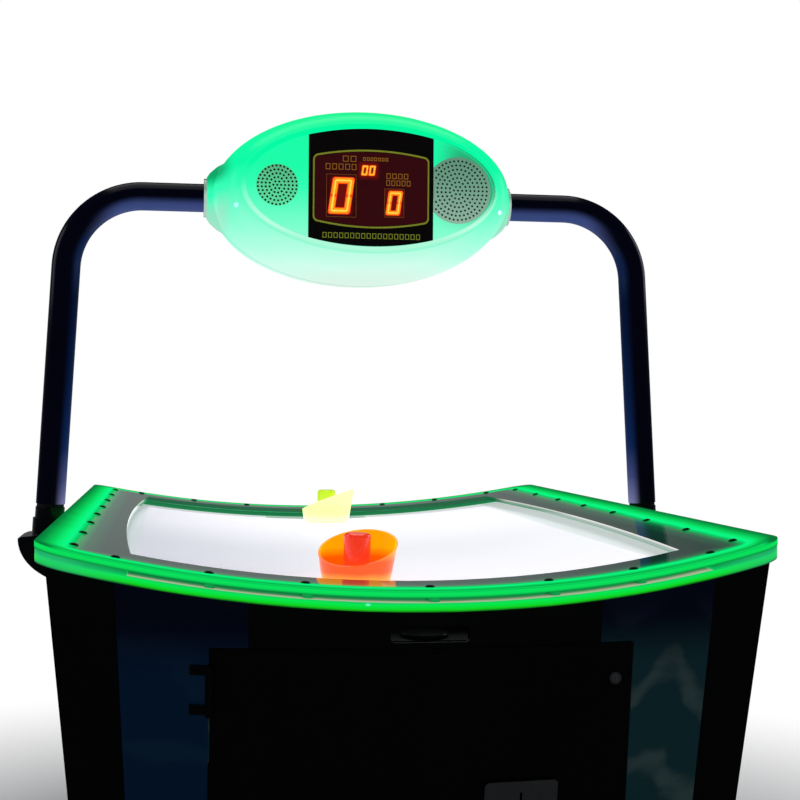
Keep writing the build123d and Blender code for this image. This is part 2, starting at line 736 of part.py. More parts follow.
def build_base():
    """Bottom board and the recessed plinth below it."""
    half_x = cabinet_half(CABINET_FOOT, WALL) - BASE_GAP
    half_y = end_y(half_x, wall_inset(CABINET_FOOT) + WALL) - 4
    with BuildPart() as bottom_board:
        with BuildSketch(Plane.XY.offset(CABINET_FOOT)):
            Rectangle(2 * half_x, 2 * half_y)
        extrude(amount=WALL)
    save(bottom_board, "bottom_board")
    with BuildPart() as plinth:
        with BuildSketch(Plane.XY.offset(PLINTH_LOW)):
            Rectangle(2 * (half_x - 20), 2 * (half_y - 30))
            Rectangle(2 * (half_x - 38), 2 * (half_y - 48), mode=Mode.SUBTRACT)
        extrude(amount=CABINET_FOOT - PLINTH_LOW - 0.2)
        for x, y in foot_places():
            with BuildSketch(Plane.XY.offset(PLINTH_LOW + 8)):
                with Locations((x, y)):
                    Rectangle(70, 70)
            extrude(amount=CABINET_FOOT - PLINTH_LOW - 8.2)
            with BuildSketch(Plane.XY.offset(0)):
                with Locations((x, y)):
                    Circle(FOOT_STEM + 0.06)
            extrude(amount=CABINET_FOOT - 12, mode=Mode.SUBTRACT)
    save(plinth, "plinth")


def foot_places():
    """Plan positions of the levelling feet."""
    return [(sx * FOOT_X, sy * FOOT_Y) for sy in (-1, 1) for sx in (-1, 1)]


def build_feet():
    """Levelling feet: a pad, a lock nut's shoulder and a threaded stem."""
    names = ("near_left_foot", "near_right_foot", "far_left_foot", "far_right_foot")
    for (x, y), name in zip(foot_places(), names):
        with BuildPart() as foot:
            lathe([(0, 0), (27, 0), (30, 3), (30, 9), (14, 15), (11, 15), (11, 24), (FOOT_STEM, 24),
                   (FOOT_STEM, 78), (0, 78)], (x, y))
        save(foot, name)


# ================================================================ inside the cabinet


def build_blower():
    """Centrifugal blower hung under the air box: scroll, impeller and motor."""
    top = PLENUM_LOW - 0.2
    with BuildPart() as blower_housing:
        with BuildSketch(Plane.XY.offset(BLOWER_LOW + 20)):
            with Locations((0, BLOWER_Y)):
                Circle(150)
        extrude(amount=110)
        with BuildSketch(Plane.XY.offset(BLOWER_LOW + 130)):
            with Locations((0, BLOWER_Y)):
                Circle(BLOWER_PORT + 4)
        extrude(amount=top - BLOWER_LOW - 130)
        with BuildSketch(Plane.XY.offset(BLOWER_LOW + 24)):
            with Locations((0, BLOWER_Y)):
                Circle(146)
        extrude(amount=102, mode=Mode.SUBTRACT)
        with BuildSketch(Plane.XY.offset(BLOWER_LOW + 24)):
            with Locations((0, BLOWER_Y)):
                Circle(BLOWER_PORT)
        extrude(amount=top - BLOWER_LOW, mode=Mode.SUBTRACT)
        with BuildSketch(Plane.XY.offset(BLOWER_LOW)):
            with Locations((0, BLOWER_Y)):
                Circle(60)
        extrude(amount=30, mode=Mode.SUBTRACT)
    save(blower_housing, "blower_housing")
    with BuildPart() as impeller:
        with BuildSketch(Plane.XY.offset(BLOWER_LOW + 34)):
            with Locations((0, BLOWER_Y)):
                Circle(120)
                Circle(5.06, mode=Mode.SUBTRACT)
        extrude(amount=4)
        with BuildSketch(Plane.XY.offset(BLOWER_LOW + 38)):
            with Locations((0, BLOWER_Y)):
                with PolarLocations(98, 24):
                    Rectangle(36, 2.5)
        extrude(amount=60)
        with BuildSketch(Plane.XY.offset(BLOWER_LOW + 38)):
            with Locations((0, BLOWER_Y)):
                Circle(20)
                Circle(5.06, mode=Mode.SUBTRACT)
        extrude(amount=20)
    save(impeller, "impeller")
    with BuildPart() as motor:
        with BuildSketch(Plane.XY.offset(BLOWER_LOW - 92)):
            with Locations((0, BLOWER_Y)):
                Circle(55)
        extrude(amount=110)
        fillet(motor.faces().sort_by(Axis.Z)[0].edges(), 8)
        with BuildSketch(Plane.XY.offset(BLOWER_LOW + 18)):
            with Locations((0, BLOWER_Y)):
                Circle(5)
        extrude(amount=44)
        for x in (-85.0, 85.0):
            with BuildSketch(Plane.XY.offset(BLOWER_LOW - 60)):
                with Locations((x, BLOWER_Y)):
                    Rectangle(66, 24)
            extrude(amount=6)
            with BuildSketch(Plane.XY.offset(BLOWER_LOW - 54)):
                with Locations((math.copysign(115, x), BLOWER_Y)):
                    Rectangle(6, 24)
            extrude(amount=73.8)
    save(motor, "blower_motor")


def build_electronics():
    """Power supply, game board and mains inlet."""
    floor_top = CABINET_FOOT + WALL
    with BuildPart() as power_supply:
        with BuildSketch(Plane.XY.offset(floor_top)):
            with Locations((-200, -300)):
                RectangleRounded(180, 120, 5)
        extrude(amount=62)
        with BuildSketch(Plane.XY.offset(floor_top + 62)):
            with Locations((-200, -300)):
                with GridLocations(14, 40, 9, 2):
                    SlotOverall(26, 4, rotation=90)
        extrude(amount=-2, mode=Mode.SUBTRACT)
    save(power_supply, "power_supply")
    with BuildPart() as game_board:
        with BuildSketch(Plane.XY.offset(floor_top)):
            with Locations((150, -300)):
                with GridLocations(220, 140, 2, 2):
                    Circle(4)
        extrude(amount=12)
        with BuildSketch(Plane.XY.offset(floor_top + 12)):
            with Locations((150, -300)):
                Rectangle(240, 160)
        extrude(amount=2)
        with BuildSketch(Plane.XY.offset(floor_top + 14)):
            with Locations((150, -300)):
                with GridLocations(60, 60, 3, 2):
                    Rectangle(28, 16)
        extrude(amount=8)
    save(game_board, "game_board")
    wall = Plane(origin=(cabinet_half(INLET_Z) + 0.1, INLET_Y, INLET_Z), x_dir=(0, 1, 0),
                 z_dir=(math.cos(SIDE_TAPER), 0, -math.sin(SIDE_TAPER)))
    with BuildPart() as inlet:
        with BuildSketch(wall):
            RectangleRounded(58, 48, 4)
        extrude(amount=9)
        with BuildSketch(wall.offset(9)):
            RectangleRounded(26, 18, 4)
        extrude(amount=-7, mode=Mode.SUBTRACT)
        with BuildSketch(wall.offset(2)):
            with GridLocations(7, 4, 3, 1):
                Rectangle(2, 4)
        extrude(amount=5)
    save(inlet, "mains_inlet")


def coin_frame(depth=0.0):
    """Plane on the near door's outer face at the coin entry, leaning with the door."""
    y = -(wall_y(COIN_X, COIN_Z) + 1)
    slope = math.asin(COIN_X / END_RADIUS)
    normal = Vector(math.sin(slope), -math.cos(slope), -LEAN).normalized()
    across = Vector(math.cos(slope), math.sin(slope), 0)
    return Plane(origin=Vector(COIN_X, y, COIN_Z) + normal * depth, x_dir=across, z_dir=normal)


def build_coin_entry():
    """Coin entry on the near door: face plate with slot, coin path behind it, reject button."""
    with BuildPart() as coin_entry:
        with BuildSketch(coin_frame(3.5)):
            RectangleRounded(COIN_WIDE, COIN_TALL, 8)
        extrude(amount=4)
        with BuildSketch(coin_frame(3.5)):
            Rectangle(COIN_WIDE - 32, COIN_TALL - 32)
        extrude(amount=-60)
        with BuildSketch(coin_frame(8)):
            with Locations((0, 40)):
                SlotOverall(34, 4, rotation=90)
        extrude(amount=-30, mode=Mode.SUBTRACT)
        with BuildSketch(coin_frame(8)):
            with Locations((0, -2)):
                Rectangle(2 * BUTTON_HALF + 1, 2 * BUTTON_HALF + 1)
        extrude(amount=-26, mode=Mode.SUBTRACT)
        with BuildSketch(coin_frame(8)):
            with Locations((0, -44)):
                RectangleRounded(56, 30, 5)
        extrude(amount=-34, mode=Mode.SUBTRACT)
    save(coin_entry, "coin_entry")
    with BuildPart() as reject_button:
        with BuildSketch(coin_frame(-10)):
            with Locations((0, -2)):
                RectangleRounded(2 * BUTTON_HALF, 2 * BUTTON_HALF, 3)
        extrude(amount=22)
    save(reject_button, "reject_button")


# ================================================================ arch and sign


def arch_x(z):
    """Distance of the arch tube's centre from the middle, at a height."""
    return ARCH_FOOT_X - ARCH_LEAN * (z - RIM_HEIGHT)


def arch_plane(hand, z):
    """Plane across one leg of the arch at a height, facing up the leg."""
    along = Vector(-hand * ARCH_LEAN, 0, 1).normalized()
    return Plane(origin=(hand * arch_x(z), 0, z), x_dir=(0, 1, 0), z_dir=along)


def build_sockets():
    """Cast sockets on the long walls that carry the arch."""
    inner = CABINET_HALF - 16
    for hand, name in ((-1, "left_socket"), (1, "right_socket")):
        with BuildPart() as socket:
            with BuildSketch(Plane.XZ):
                with Locations((hand * inner, LUG_TOP)):
                    Ellipse(LUG_X - inner, LUG_TOP - LUG_LOW)
                with Locations((hand * (inner + LUG_X) / 2, (LUG_TOP + LUG_LOW) / 2)):
                    Rectangle(LUG_X - inner, LUG_TOP - LUG_LOW, mode=Mode.INTERSECT)
                with BuildLine():
                    Polyline((hand * inner, LUG_TOP), (hand * (LUG_X - 1), LUG_TOP),
                             (hand * (LUG_X - 8), LUG_TOP + 3), (hand * inner, LUG_TOP + 14),
                             close=True)
                make_face()
            extrude(amount=LUG_HALF, both=True)
            extrude(cabinet_elevation(-0.2, low=0, top_drop=0), amount=SPAN, both=True,
                    mode=Mode.SUBTRACT)
            with BuildSketch(arch_plane(hand, LUG_TOP)):
                Circle(TUBE / 2 + 4)
            extrude(amount=JOINT_RISE - 26)
            with BuildSketch(arch_plane(hand, LUG_TOP)):
                Circle(TUBE / 2)
            extrude(amount=JOINT_RISE - 3)
            with BuildSketch(arch_plane(hand, RIM_HEIGHT - 40)):
                Circle(TUBE / 2 - TUBE_WALL)
            extrude(amount=160, mode=Mode.SUBTRACT)
        save(socket, name)


def build_gaskets():
    """Dark joint rings between the sockets and the arch tubes."""
    with BuildPart() as gaskets:
        for hand in (-1, 1):
            with BuildSketch(arch_plane(hand, RIM_HEIGHT + JOINT_RISE + 0.2)):
                Circle(TUBE / 2 - 2)
                Circle(TUBE / 2 - TUBE_WALL, mode=Mode.SUBTRACT)
            extrude(amount=JOINT_GAP - 0.6)
    save(gaskets, "arch_joint_rings")


def build_arch():
    """Bent arch tubes, one each side, from the joint ring up and into the sign."""
    for hand, name in ((-1, "left_arch_tube"), (1, "right_arch_tube")):
        foot_z = RIM_HEIGHT + JOINT_RISE + JOINT_GAP
        with BuildPart() as arch:
            with BuildLine(Plane.XZ) as path:
                FilletPolyline((hand * arch_x(foot_z), foot_z), (hand * arch_x(ARCH_TOP), ARCH_TOP),
                               (hand * TUBE_INNER_END, ARCH_TOP), radius=ARCH_BEND)
            with BuildSketch(arch_plane(hand, foot_z)):
                Circle(TUBE / 2)
                Circle(TUBE / 2 - TUBE_WALL, mode=Mode.SUBTRACT)
            sweep(path=path.wires()[0])
        save(arch, name)


def sign_section(y, inset):
    """Oval section of the sign at a depth from its middle plane, inside the shell."""
    reach = SIGN_HALF_Y - inset * 2
    bow = math.sqrt(max(0.0, 1 - (y / reach) ** 2))
    half_x = SIGN_HALF_X - FACE_INSET * (1 - bow) - inset
    half_z = SIGN_HALF_Z - FACE_INSET * (1 - bow) - inset
    return half_x, half_z


def sign_body(inset):
    """Near half of the sign's domed body, from a little behind the middle plane to its face."""
    reach = SIGN_HALF_Y - inset * 2
    sections = []
    for turn in (-30, -15, 0, 24, 45, 63, 78, 90):
        y = reach * math.sin(math.radians(turn))
        half_x, half_z = sign_section(y, inset)
        plane = Plane(origin=(0, -y, ARCH_TOP), x_dir=(1, 0, 0), z_dir=(0, -1, 0))
        with BuildSketch(plane) as section:
            Ellipse(half_x, half_z)
        sections.append(section.sketch)
    with BuildPart() as body:
        loft(sections)
    return body.part


def face_plane(side, depth=0.0):
    """Plane on a face of the sign, looking out of it."""
    return Plane(origin=(0, side * (SIGN_HALF_Y - depth), ARCH_TOP), x_dir=(-side, 0, 0),
                 z_dir=(0, side, 0))


def sign_necks():
    """Ring-shaped necks at both ends of the sign's body, round the collars."""
    start = SIGN_HALF_X - 46
    bore = ARCH_TOP + COLLAR_RADIUS + COLLAR_GAP
    with BuildPart() as necks:
        for hand in (-1, 1):
            with BuildSketch(Plane.XZ):
                with BuildLine():
                    Polyline((hand * start, bore), (hand * start, ARCH_TOP + 86),
                             (hand * (start + 34), ARCH_TOP + 67), (hand * (start + 49), ARCH_TOP + 54),
                             (hand * (start + 56), ARCH_TOP + 44), (hand * (start + 56), bore),
                             close=True)
                make_face()
            revolve(axis=Axis((0, 0, ARCH_TOP), (1, 0, 0)))
    return necks.part


def build_sign_shells():
    """Two equal domed translucent half shells with necks, a recessed oval face, speaker holes."""
    outside = sign_body(0)
    hollow = sign_body(SIGN_SHELL)
    necks = sign_necks()
    with BuildPart() as near_necks:
        add(necks)
        with BuildSketch(Plane.XZ):
            with Locations((0, ARCH_TOP)):
                Rectangle(SPAN, SPAN)
        extrude(amount=2 * SIGN_HALF_Y, mode=Mode.INTERSECT)
        add(outside, mode=Mode.SUBTRACT)
    with BuildPart() as near_shell:
        add(outside)
        add(hollow, mode=Mode.SUBTRACT)
        with BuildSketch(Plane.YZ.offset(-2 * SIGN_HALF_X)):
            with Locations((0, ARCH_TOP)):
                Circle(COLLAR_RADIUS + COLLAR_GAP)
        extrude(amount=4 * SIGN_HALF_X, mode=Mode.SUBTRACT)
        add(near_necks.part)
        with BuildSketch(face_plane(-1)):
            Ellipse(FACE_HALF_X, FACE_HALF_Z)
        extrude(amount=-FACE_RECESS, mode=Mode.SUBTRACT)
        with BuildSketch(face_plane(-1, FACE_RECESS - 1)):
            with Locations((LARGE_SPEAKER_X, 0)):
                Circle(LARGE_SPEAKER * 0.84)
            with Locations((-SMALL_SPEAKER_X, 0)):
                Circle(SMALL_SPEAKER * 0.84)
        extrude(amount=-3 * SIGN_SHELL, mode=Mode.SUBTRACT)
        for x, z in SIGN_SCREWS:
            with BuildSketch(Plane(origin=(x, -SIGN_HALF_Y, ARCH_TOP + z), x_dir=(1, 0, 0),
                                   z_dir=(0, -1, 0))):
                Circle(4.8)
            extrude(amount=-(SIGN_HALF_Y - shell_y(x, z) + 3.2), mode=Mode.SUBTRACT)
            with BuildSketch(Plane(origin=(x, -SIGN_HALF_Y, ARCH_TOP + z), x_dir=(1, 0, 0),
                                   z_dir=(0, -1, 0))):
                Circle(2.3)
            extrude(amount=-SIGN_HALF_Y, mode=Mode.SUBTRACT)
        with BuildSketch(Plane.XZ.offset(0.3)):
            with Locations((0, ARCH_TOP)):
                Rectangle(SPAN, SPAN)
        extrude(amount=2 * SIGN_HALF_Y, mode=Mode.INTERSECT)
    save(near_shell, "sign_near_shell")
    with BuildPart() as far_shell:
        add(near_shell.part, rotation=(0, 0, 180))
    save(far_shell, "sign_far_shell")


def build_collars():
    """Clear collars that centre the arch tubes in the ends of the sign."""
    with BuildPart() as collars:
        for hand in (-1, 1):
            with BuildSketch(Plane.YZ.offset(hand * COLLAR_END)):
                with Locations((0, ARCH_TOP)):
                    Circle(COLLAR_RADIUS)
                    Circle(TUBE / 2 + 0.3, mode=Mode.SUBTRACT)
            extrude(amount=-hand * COLLAR_LENGTH)
    save(collars, "sign_collars")


def build_displays():
    """Dark glossy display windows with arched upper and lower edges, one on each face."""
    for side, name in ((-1, "near_display_window"), (1, "far_display_window")):
        with BuildPart() as display:
            with BuildSketch(face_plane(side, FACE_RECESS)):
                with BuildLine():
                    ThreePointArc((-DISPLAY_HALF_X, DISPLAY_HALF_Z), (0, DISPLAY_HALF_Z + DISPLAY_ARCH - 1),
                                  (DISPLAY_HALF_X, DISPLAY_HALF_Z))
                    Line((DISPLAY_HALF_X, DISPLAY_HALF_Z), (DISPLAY_HALF_X, -DISPLAY_HALF_Z))
                    ThreePointArc((DISPLAY_HALF_X, -DISPLAY_HALF_Z),
                                  (0, -DISPLAY_HALF_Z - DISPLAY_ARCH + 1),
                                  (-DISPLAY_HALF_X, -DISPLAY_HALF_Z))
                    Line((-DISPLAY_HALF_X, -DISPLAY_HALF_Z), (-DISPLAY_HALF_X, DISPLAY_HALF_Z))
                make_face()
            extrude(amount=DISPLAY_THICK)
        save(display, name)


def build_display_boards():
    """Circuit boards behind the display windows, with their digit modules."""
    with BuildPart() as boards:
        for side in (-1, 1):
            with BuildSketch(face_plane(side, FACE_RECESS + SIGN_SHELL + 14)):
                Rectangle(2 * DISPLAY_HALF_X - 40, 2 * DISPLAY_HALF_Z - 50)
            extrude(amount=2)
            with BuildSketch(face_plane(side, FACE_RECESS + SIGN_SHELL + 12)):
                with Locations((-57, -12)):
                    Rectangle(56, 78)
                with Locations((46, -22)):
                    Rectangle(40, 54)
                with Locations((2, 42)):
                    Rectangle(40, 26)
            extrude(amount=6)
    save(boards, "display_boards")


def build_speakers():
    """Loudspeakers behind the sign's faces: perforated grille, frame and magnet of each."""
    with BuildPart() as speakers:
        for side in (-1, 1):
            for x, radius in ((LARGE_SPEAKER_X, LARGE_SPEAKER), (-SMALL_SPEAKER_X, SMALL_SPEAKER)):
                depth = FACE_RECESS + SIGN_SHELL + 2
                with BuildSketch(face_plane(side, depth)):
                    with Locations((x, 0)):
                        Circle(radius * 0.82)
                extrude(amount=SIGN_SHELL + 1)
                with BuildSketch(face_plane(side, depth)):
                    with Locations((x, 0)):
                        Circle(radius * 0.9)
                extrude(amount=-radius * 0.5, taper=30)
                with BuildSketch(face_plane(side, depth + radius * 0.4)):
                    with Locations((x, 0)):
                        Circle(radius * 0.45)
                extrude(amount=-radius * 0.35)
    save(speakers, "speakers")


def build_spine():
    """Tube that joins both arch tubes inside the sign, and the frames that carry the boards."""
    with BuildPart() as spine:
        with BuildSketch(Plane.YZ.offset(-COLLAR_END)):
            with Locations((0, ARCH_TOP)):
                Circle(SPINE_RADIUS)
                Circle(SPINE_RADIUS - TUBE_WALL, mode=Mode.SUBTRACT)
        extrude(amount=2 * COLLAR_END)
    save(spine, "sign_spine")
    with BuildPart() as frames:
        reach = SIGN_HALF_Y - FACE_RECESS - SIGN_SHELL - 14.5
        for x in (-FRAME_X, FRAME_X):
            with BuildSketch(Plane.YZ.offset(x - 2)):
                with Locations((0, ARCH_TOP)):
                    Rectangle(2 * reach, 60)
                    Circle(48)
                    Circle(SPINE_RADIUS + 0.1, mode=Mode.SUBTRACT)
            extrude(amount=4)
    save(frames, "sign_frames")


def build_sign_leds():
    """Lamp strips on carriers above and below the sign's spine."""
    with BuildPart() as sign_leds:
        for x in (-FRAME_X, FRAME_X):
            for z in (-1, 1):
                with BuildSketch(Plane.XY.offset(ARCH_TOP + z * 66 - 2)):
                    with Locations((x, 0)):
                        Rectangle(120, 40)
                extrude(amount=4)
                with BuildSketch(Plane.XY.offset(ARCH_TOP + z * 58 - 10)):
                    with Locations((x + 8, 0)):
                        Rectangle(6, 12)
                extrude(amount=20)
    save(sign_leds, "sign_lamps")


def build_sign_screws():
    """Screws through the domed shells, into the bosses between them."""
    with BuildPart() as screws:
        for side in (-1, 1):
            for x, z in SIGN_SCREWS:
                y = shell_y(x, z)
                with BuildSketch(Plane(origin=(x, side * (y - 3), ARCH_TOP + z), x_dir=(1, 0, 0),
                                       z_dir=(0, side, 0))):
                    Circle(4.5)
                extrude(amount=4)
                with BuildSketch(Plane(origin=(x, side * (y - 3), ARCH_TOP + z), x_dir=(1, 0, 0),
                                       z_dir=(0, side, 0))):
                    Circle(2)
                extrude(amount=-30)
    save(screws, "sign_screws")


def shell_y(x, z):
    """Depth of the shell's outer surface from the sign's middle plane, at a place on its front."""
    low, high = 0.0, SIGN_HALF_Y
    for _ in range(30):
        middle = (low + high) / 2
        half_x, half_z = sign_section(middle, 0)
        if (x / half_x) ** 2 + (z / half_z) ** 2 < 1:
            low = middle
        else:
            high = middle
    return low


# ================================================================ mallets and puck


def mallet_plane(x, y, turn):
    """Plane under a mallet's base, turned so that local +X points to the cup's high side."""
    base = trough_plane(x, y, PLAY_DROP).offset(MALLET_LIFT)
    turned = base.x_dir.rotate(Axis((0, 0, 0), base.z_dir), turn)
    return Plane(origin=base.origin, x_dir=turned, z_dir=base.z_dir)


def build_mallet(place, prefix):
    """Mallet: a slanted, flared open cup, the knob in its middle and the felt under it."""
    plane = mallet_plane(*place)
    rim = MALLET_HIGH + 12
    flare = math.tan(MALLET_FLARE)
    reach = MALLET_BASE + MALLET_HIGH * flare
    slant = math.atan((MALLET_HIGH - MALLET_LOW) / (reach + MALLET_BASE + MALLET_LOW * flare))
    middle = (MALLET_HIGH + MALLET_LOW) / 2
    tip = plane.z_dir * math.cos(slant) - plane.x_dir * math.sin(slant)
    with BuildPart() as inside:
        with BuildSketch(plane.offset(FELT + MALLET_WALL)):
            Circle(MALLET_BASE + MALLET_WALL * (flare - 1))
        with BuildSketch(plane.offset(FELT + rim + 1)):
            Circle(MALLET_BASE + (rim + 1) * flare - MALLET_WALL)
        loft()
    with BuildPart() as cup:
        with BuildSketch(plane.offset(FELT)):
            Circle(MALLET_BASE)
        with BuildSketch(plane.offset(FELT + rim)):
            Circle(MALLET_BASE + rim * flare)
        loft()
        add(inside.part, mode=Mode.SUBTRACT)
        with BuildSketch(Plane(origin=plane.offset(FELT + middle).origin, x_dir=plane.y_dir,
                               z_dir=tip)):
            Circle(3 * MALLET_BASE)
        extrude(amount=3 * MALLET_HIGH, mode=Mode.SUBTRACT)
        fillet(cup.faces().sort_by(Axis.Z)[0].edges(), 1.2)
        with BuildSketch(plane):
            Circle(KNOB_SCREW)
        extrude(amount=2 * MALLET_WALL + FELT, mode=Mode.SUBTRACT)
    save(cup, f"{prefix}_mallet_cup")
    with BuildPart() as knob:
        with BuildSketch(plane.offset(FELT + MALLET_WALL + 0.1)):
            Circle(KNOB_RADIUS)
        extrude(amount=KNOB_HEIGHT - MALLET_WALL)
        top_edges = knob.faces().sort_by(Axis.Z)[-1].edges()
        fillet(top_edges, 7)
        with BuildSketch(plane.offset(FELT)):
            Circle(KNOB_SCREW - 0.1)
        extrude(amount=MALLET_WALL + 0.1)
    save(knob, f"{prefix}_mallet_knob")
    with BuildPart() as felt:
        with BuildSketch(plane.offset(0.05)):
            Circle(MALLET_BASE - 4)
            Circle(MALLET_BASE - 30, mode=Mode.SUBTRACT)
        extrude(amount=FELT - 0.1)
    save(felt, f"{prefix}_mallet_felt")


def build_puck():
    """Puck waiting on the floor of the near goal chute, behind the return opening."""
    with BuildPart() as puck:
        with BuildSketch(Plane.XY.offset(RETURN_LOW + 0.5)):
            with Locations((0, PUCK_RADIUS + 6.0 - chute_end())):
                Circle(PUCK_RADIUS)
        extrude(amount=PUCK_THICK)
        chamfer(puck.edges().filter_by(GeomType.CIRCLE), 1)
    save(puck, "puck")


build_cover_plate()
build_cover_screws()
build_spacers()
build_light_ring()
build_rim_leds()
build_playfield()
build_rails()
build_deck()
build_plenum()
build_side_panels()
build_corner_posts()
build_end_panels()
build_hatches()
build_goal_chutes()
build_doors()
build_hinge_pins()
build_locks()
build_base()
build_feet()
build_blower()
build_electronics()
build_coin_entry()
build_sockets()
build_gaskets()
build_arch()
build_sign_shells()
build_collars()
build_displays()
build_display_boards()
build_speakers()
build_spine()
build_sign_leds()
build_sign_screws()
build_mallet(NEAR_MALLET, "near")
build_mallet(FAR_MALLET, "far")
build_puck()
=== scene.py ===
import math

import bmesh
import bpy
from mathutils import Matrix, Vector


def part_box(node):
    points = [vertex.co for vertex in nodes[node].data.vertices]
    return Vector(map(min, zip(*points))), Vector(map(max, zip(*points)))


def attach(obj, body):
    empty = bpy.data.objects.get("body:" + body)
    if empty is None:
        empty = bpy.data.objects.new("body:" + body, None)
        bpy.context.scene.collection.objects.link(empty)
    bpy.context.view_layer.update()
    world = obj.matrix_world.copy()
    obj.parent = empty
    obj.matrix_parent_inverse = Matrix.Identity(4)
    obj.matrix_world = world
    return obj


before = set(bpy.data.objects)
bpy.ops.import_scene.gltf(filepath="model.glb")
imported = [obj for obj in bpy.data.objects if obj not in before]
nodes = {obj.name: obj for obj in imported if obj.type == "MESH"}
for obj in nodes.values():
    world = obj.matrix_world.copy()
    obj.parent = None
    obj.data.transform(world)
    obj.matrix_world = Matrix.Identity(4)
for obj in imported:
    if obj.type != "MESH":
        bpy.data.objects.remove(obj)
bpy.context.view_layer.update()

# The table's own sizes, in metres, read from the frame where it holds them.
plate_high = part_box("cover_plate")[1]
sign_low, sign_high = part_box("sign_near_shell")
HALF_WIDTH = plate_high.x
HALF_LENGTH = plate_high.y
END_BULGE = 0.108           # how far each end swells out past its corners
SAG = 0.067                 # how far the middle of the trough lies below its long edges
RIM_TOP = plate_high.z - SAG
TROUGH_RADIUS = (HALF_WIDTH ** 2 + SAG ** 2) / (2 * SAG)
END_RADIUS = (HALF_WIDTH ** 2 + END_BULGE ** 2) / (2 * END_BULGE)
CORNER = 0.075              # corner radius of the rim
WINDOW_HALF = 0.456         # half width of the cover window at its corners
SIGN_MIDDLE = (sign_low.z + sign_high.z) / 2
SIGN_DEPTH = -sign_low.y
SIDES = (("near", -1), ("far", 1))


def linear(colour):
    """Linear RGBA of a colour given as three bytes."""
    shares = [byte / 255 for byte in colour]
    light = [s / 12.92 if s <= 0.04045 else ((s + 0.055) / 1.055) ** 2.4 for s in shares]
    return (*light, 1.0)


# ---------------------------------------------------------------- material nodes
class Wire:
    """One output in a material's node tree, which takes part in arithmetic like a number."""

    def __init__(self, paint, socket):
        self.paint = paint
        self.socket = socket

    def __add__(self, other):
        return self.paint.math("ADD", self, other)

    def __sub__(self, other):
        return self.paint.math("SUBTRACT", self, other)

    def __rsub__(self, other):
        return self.paint.math("SUBTRACT", other, self)

    def __mul__(self, other):
        return self.paint.math("MULTIPLY", self, other)

    def __truediv__(self, other):
        return self.paint.math("DIVIDE", self, other)

    def __abs__(self):
        return self.paint.math("ABSOLUTE", self)

    __radd__ = __add__
    __rmul__ = __mul__


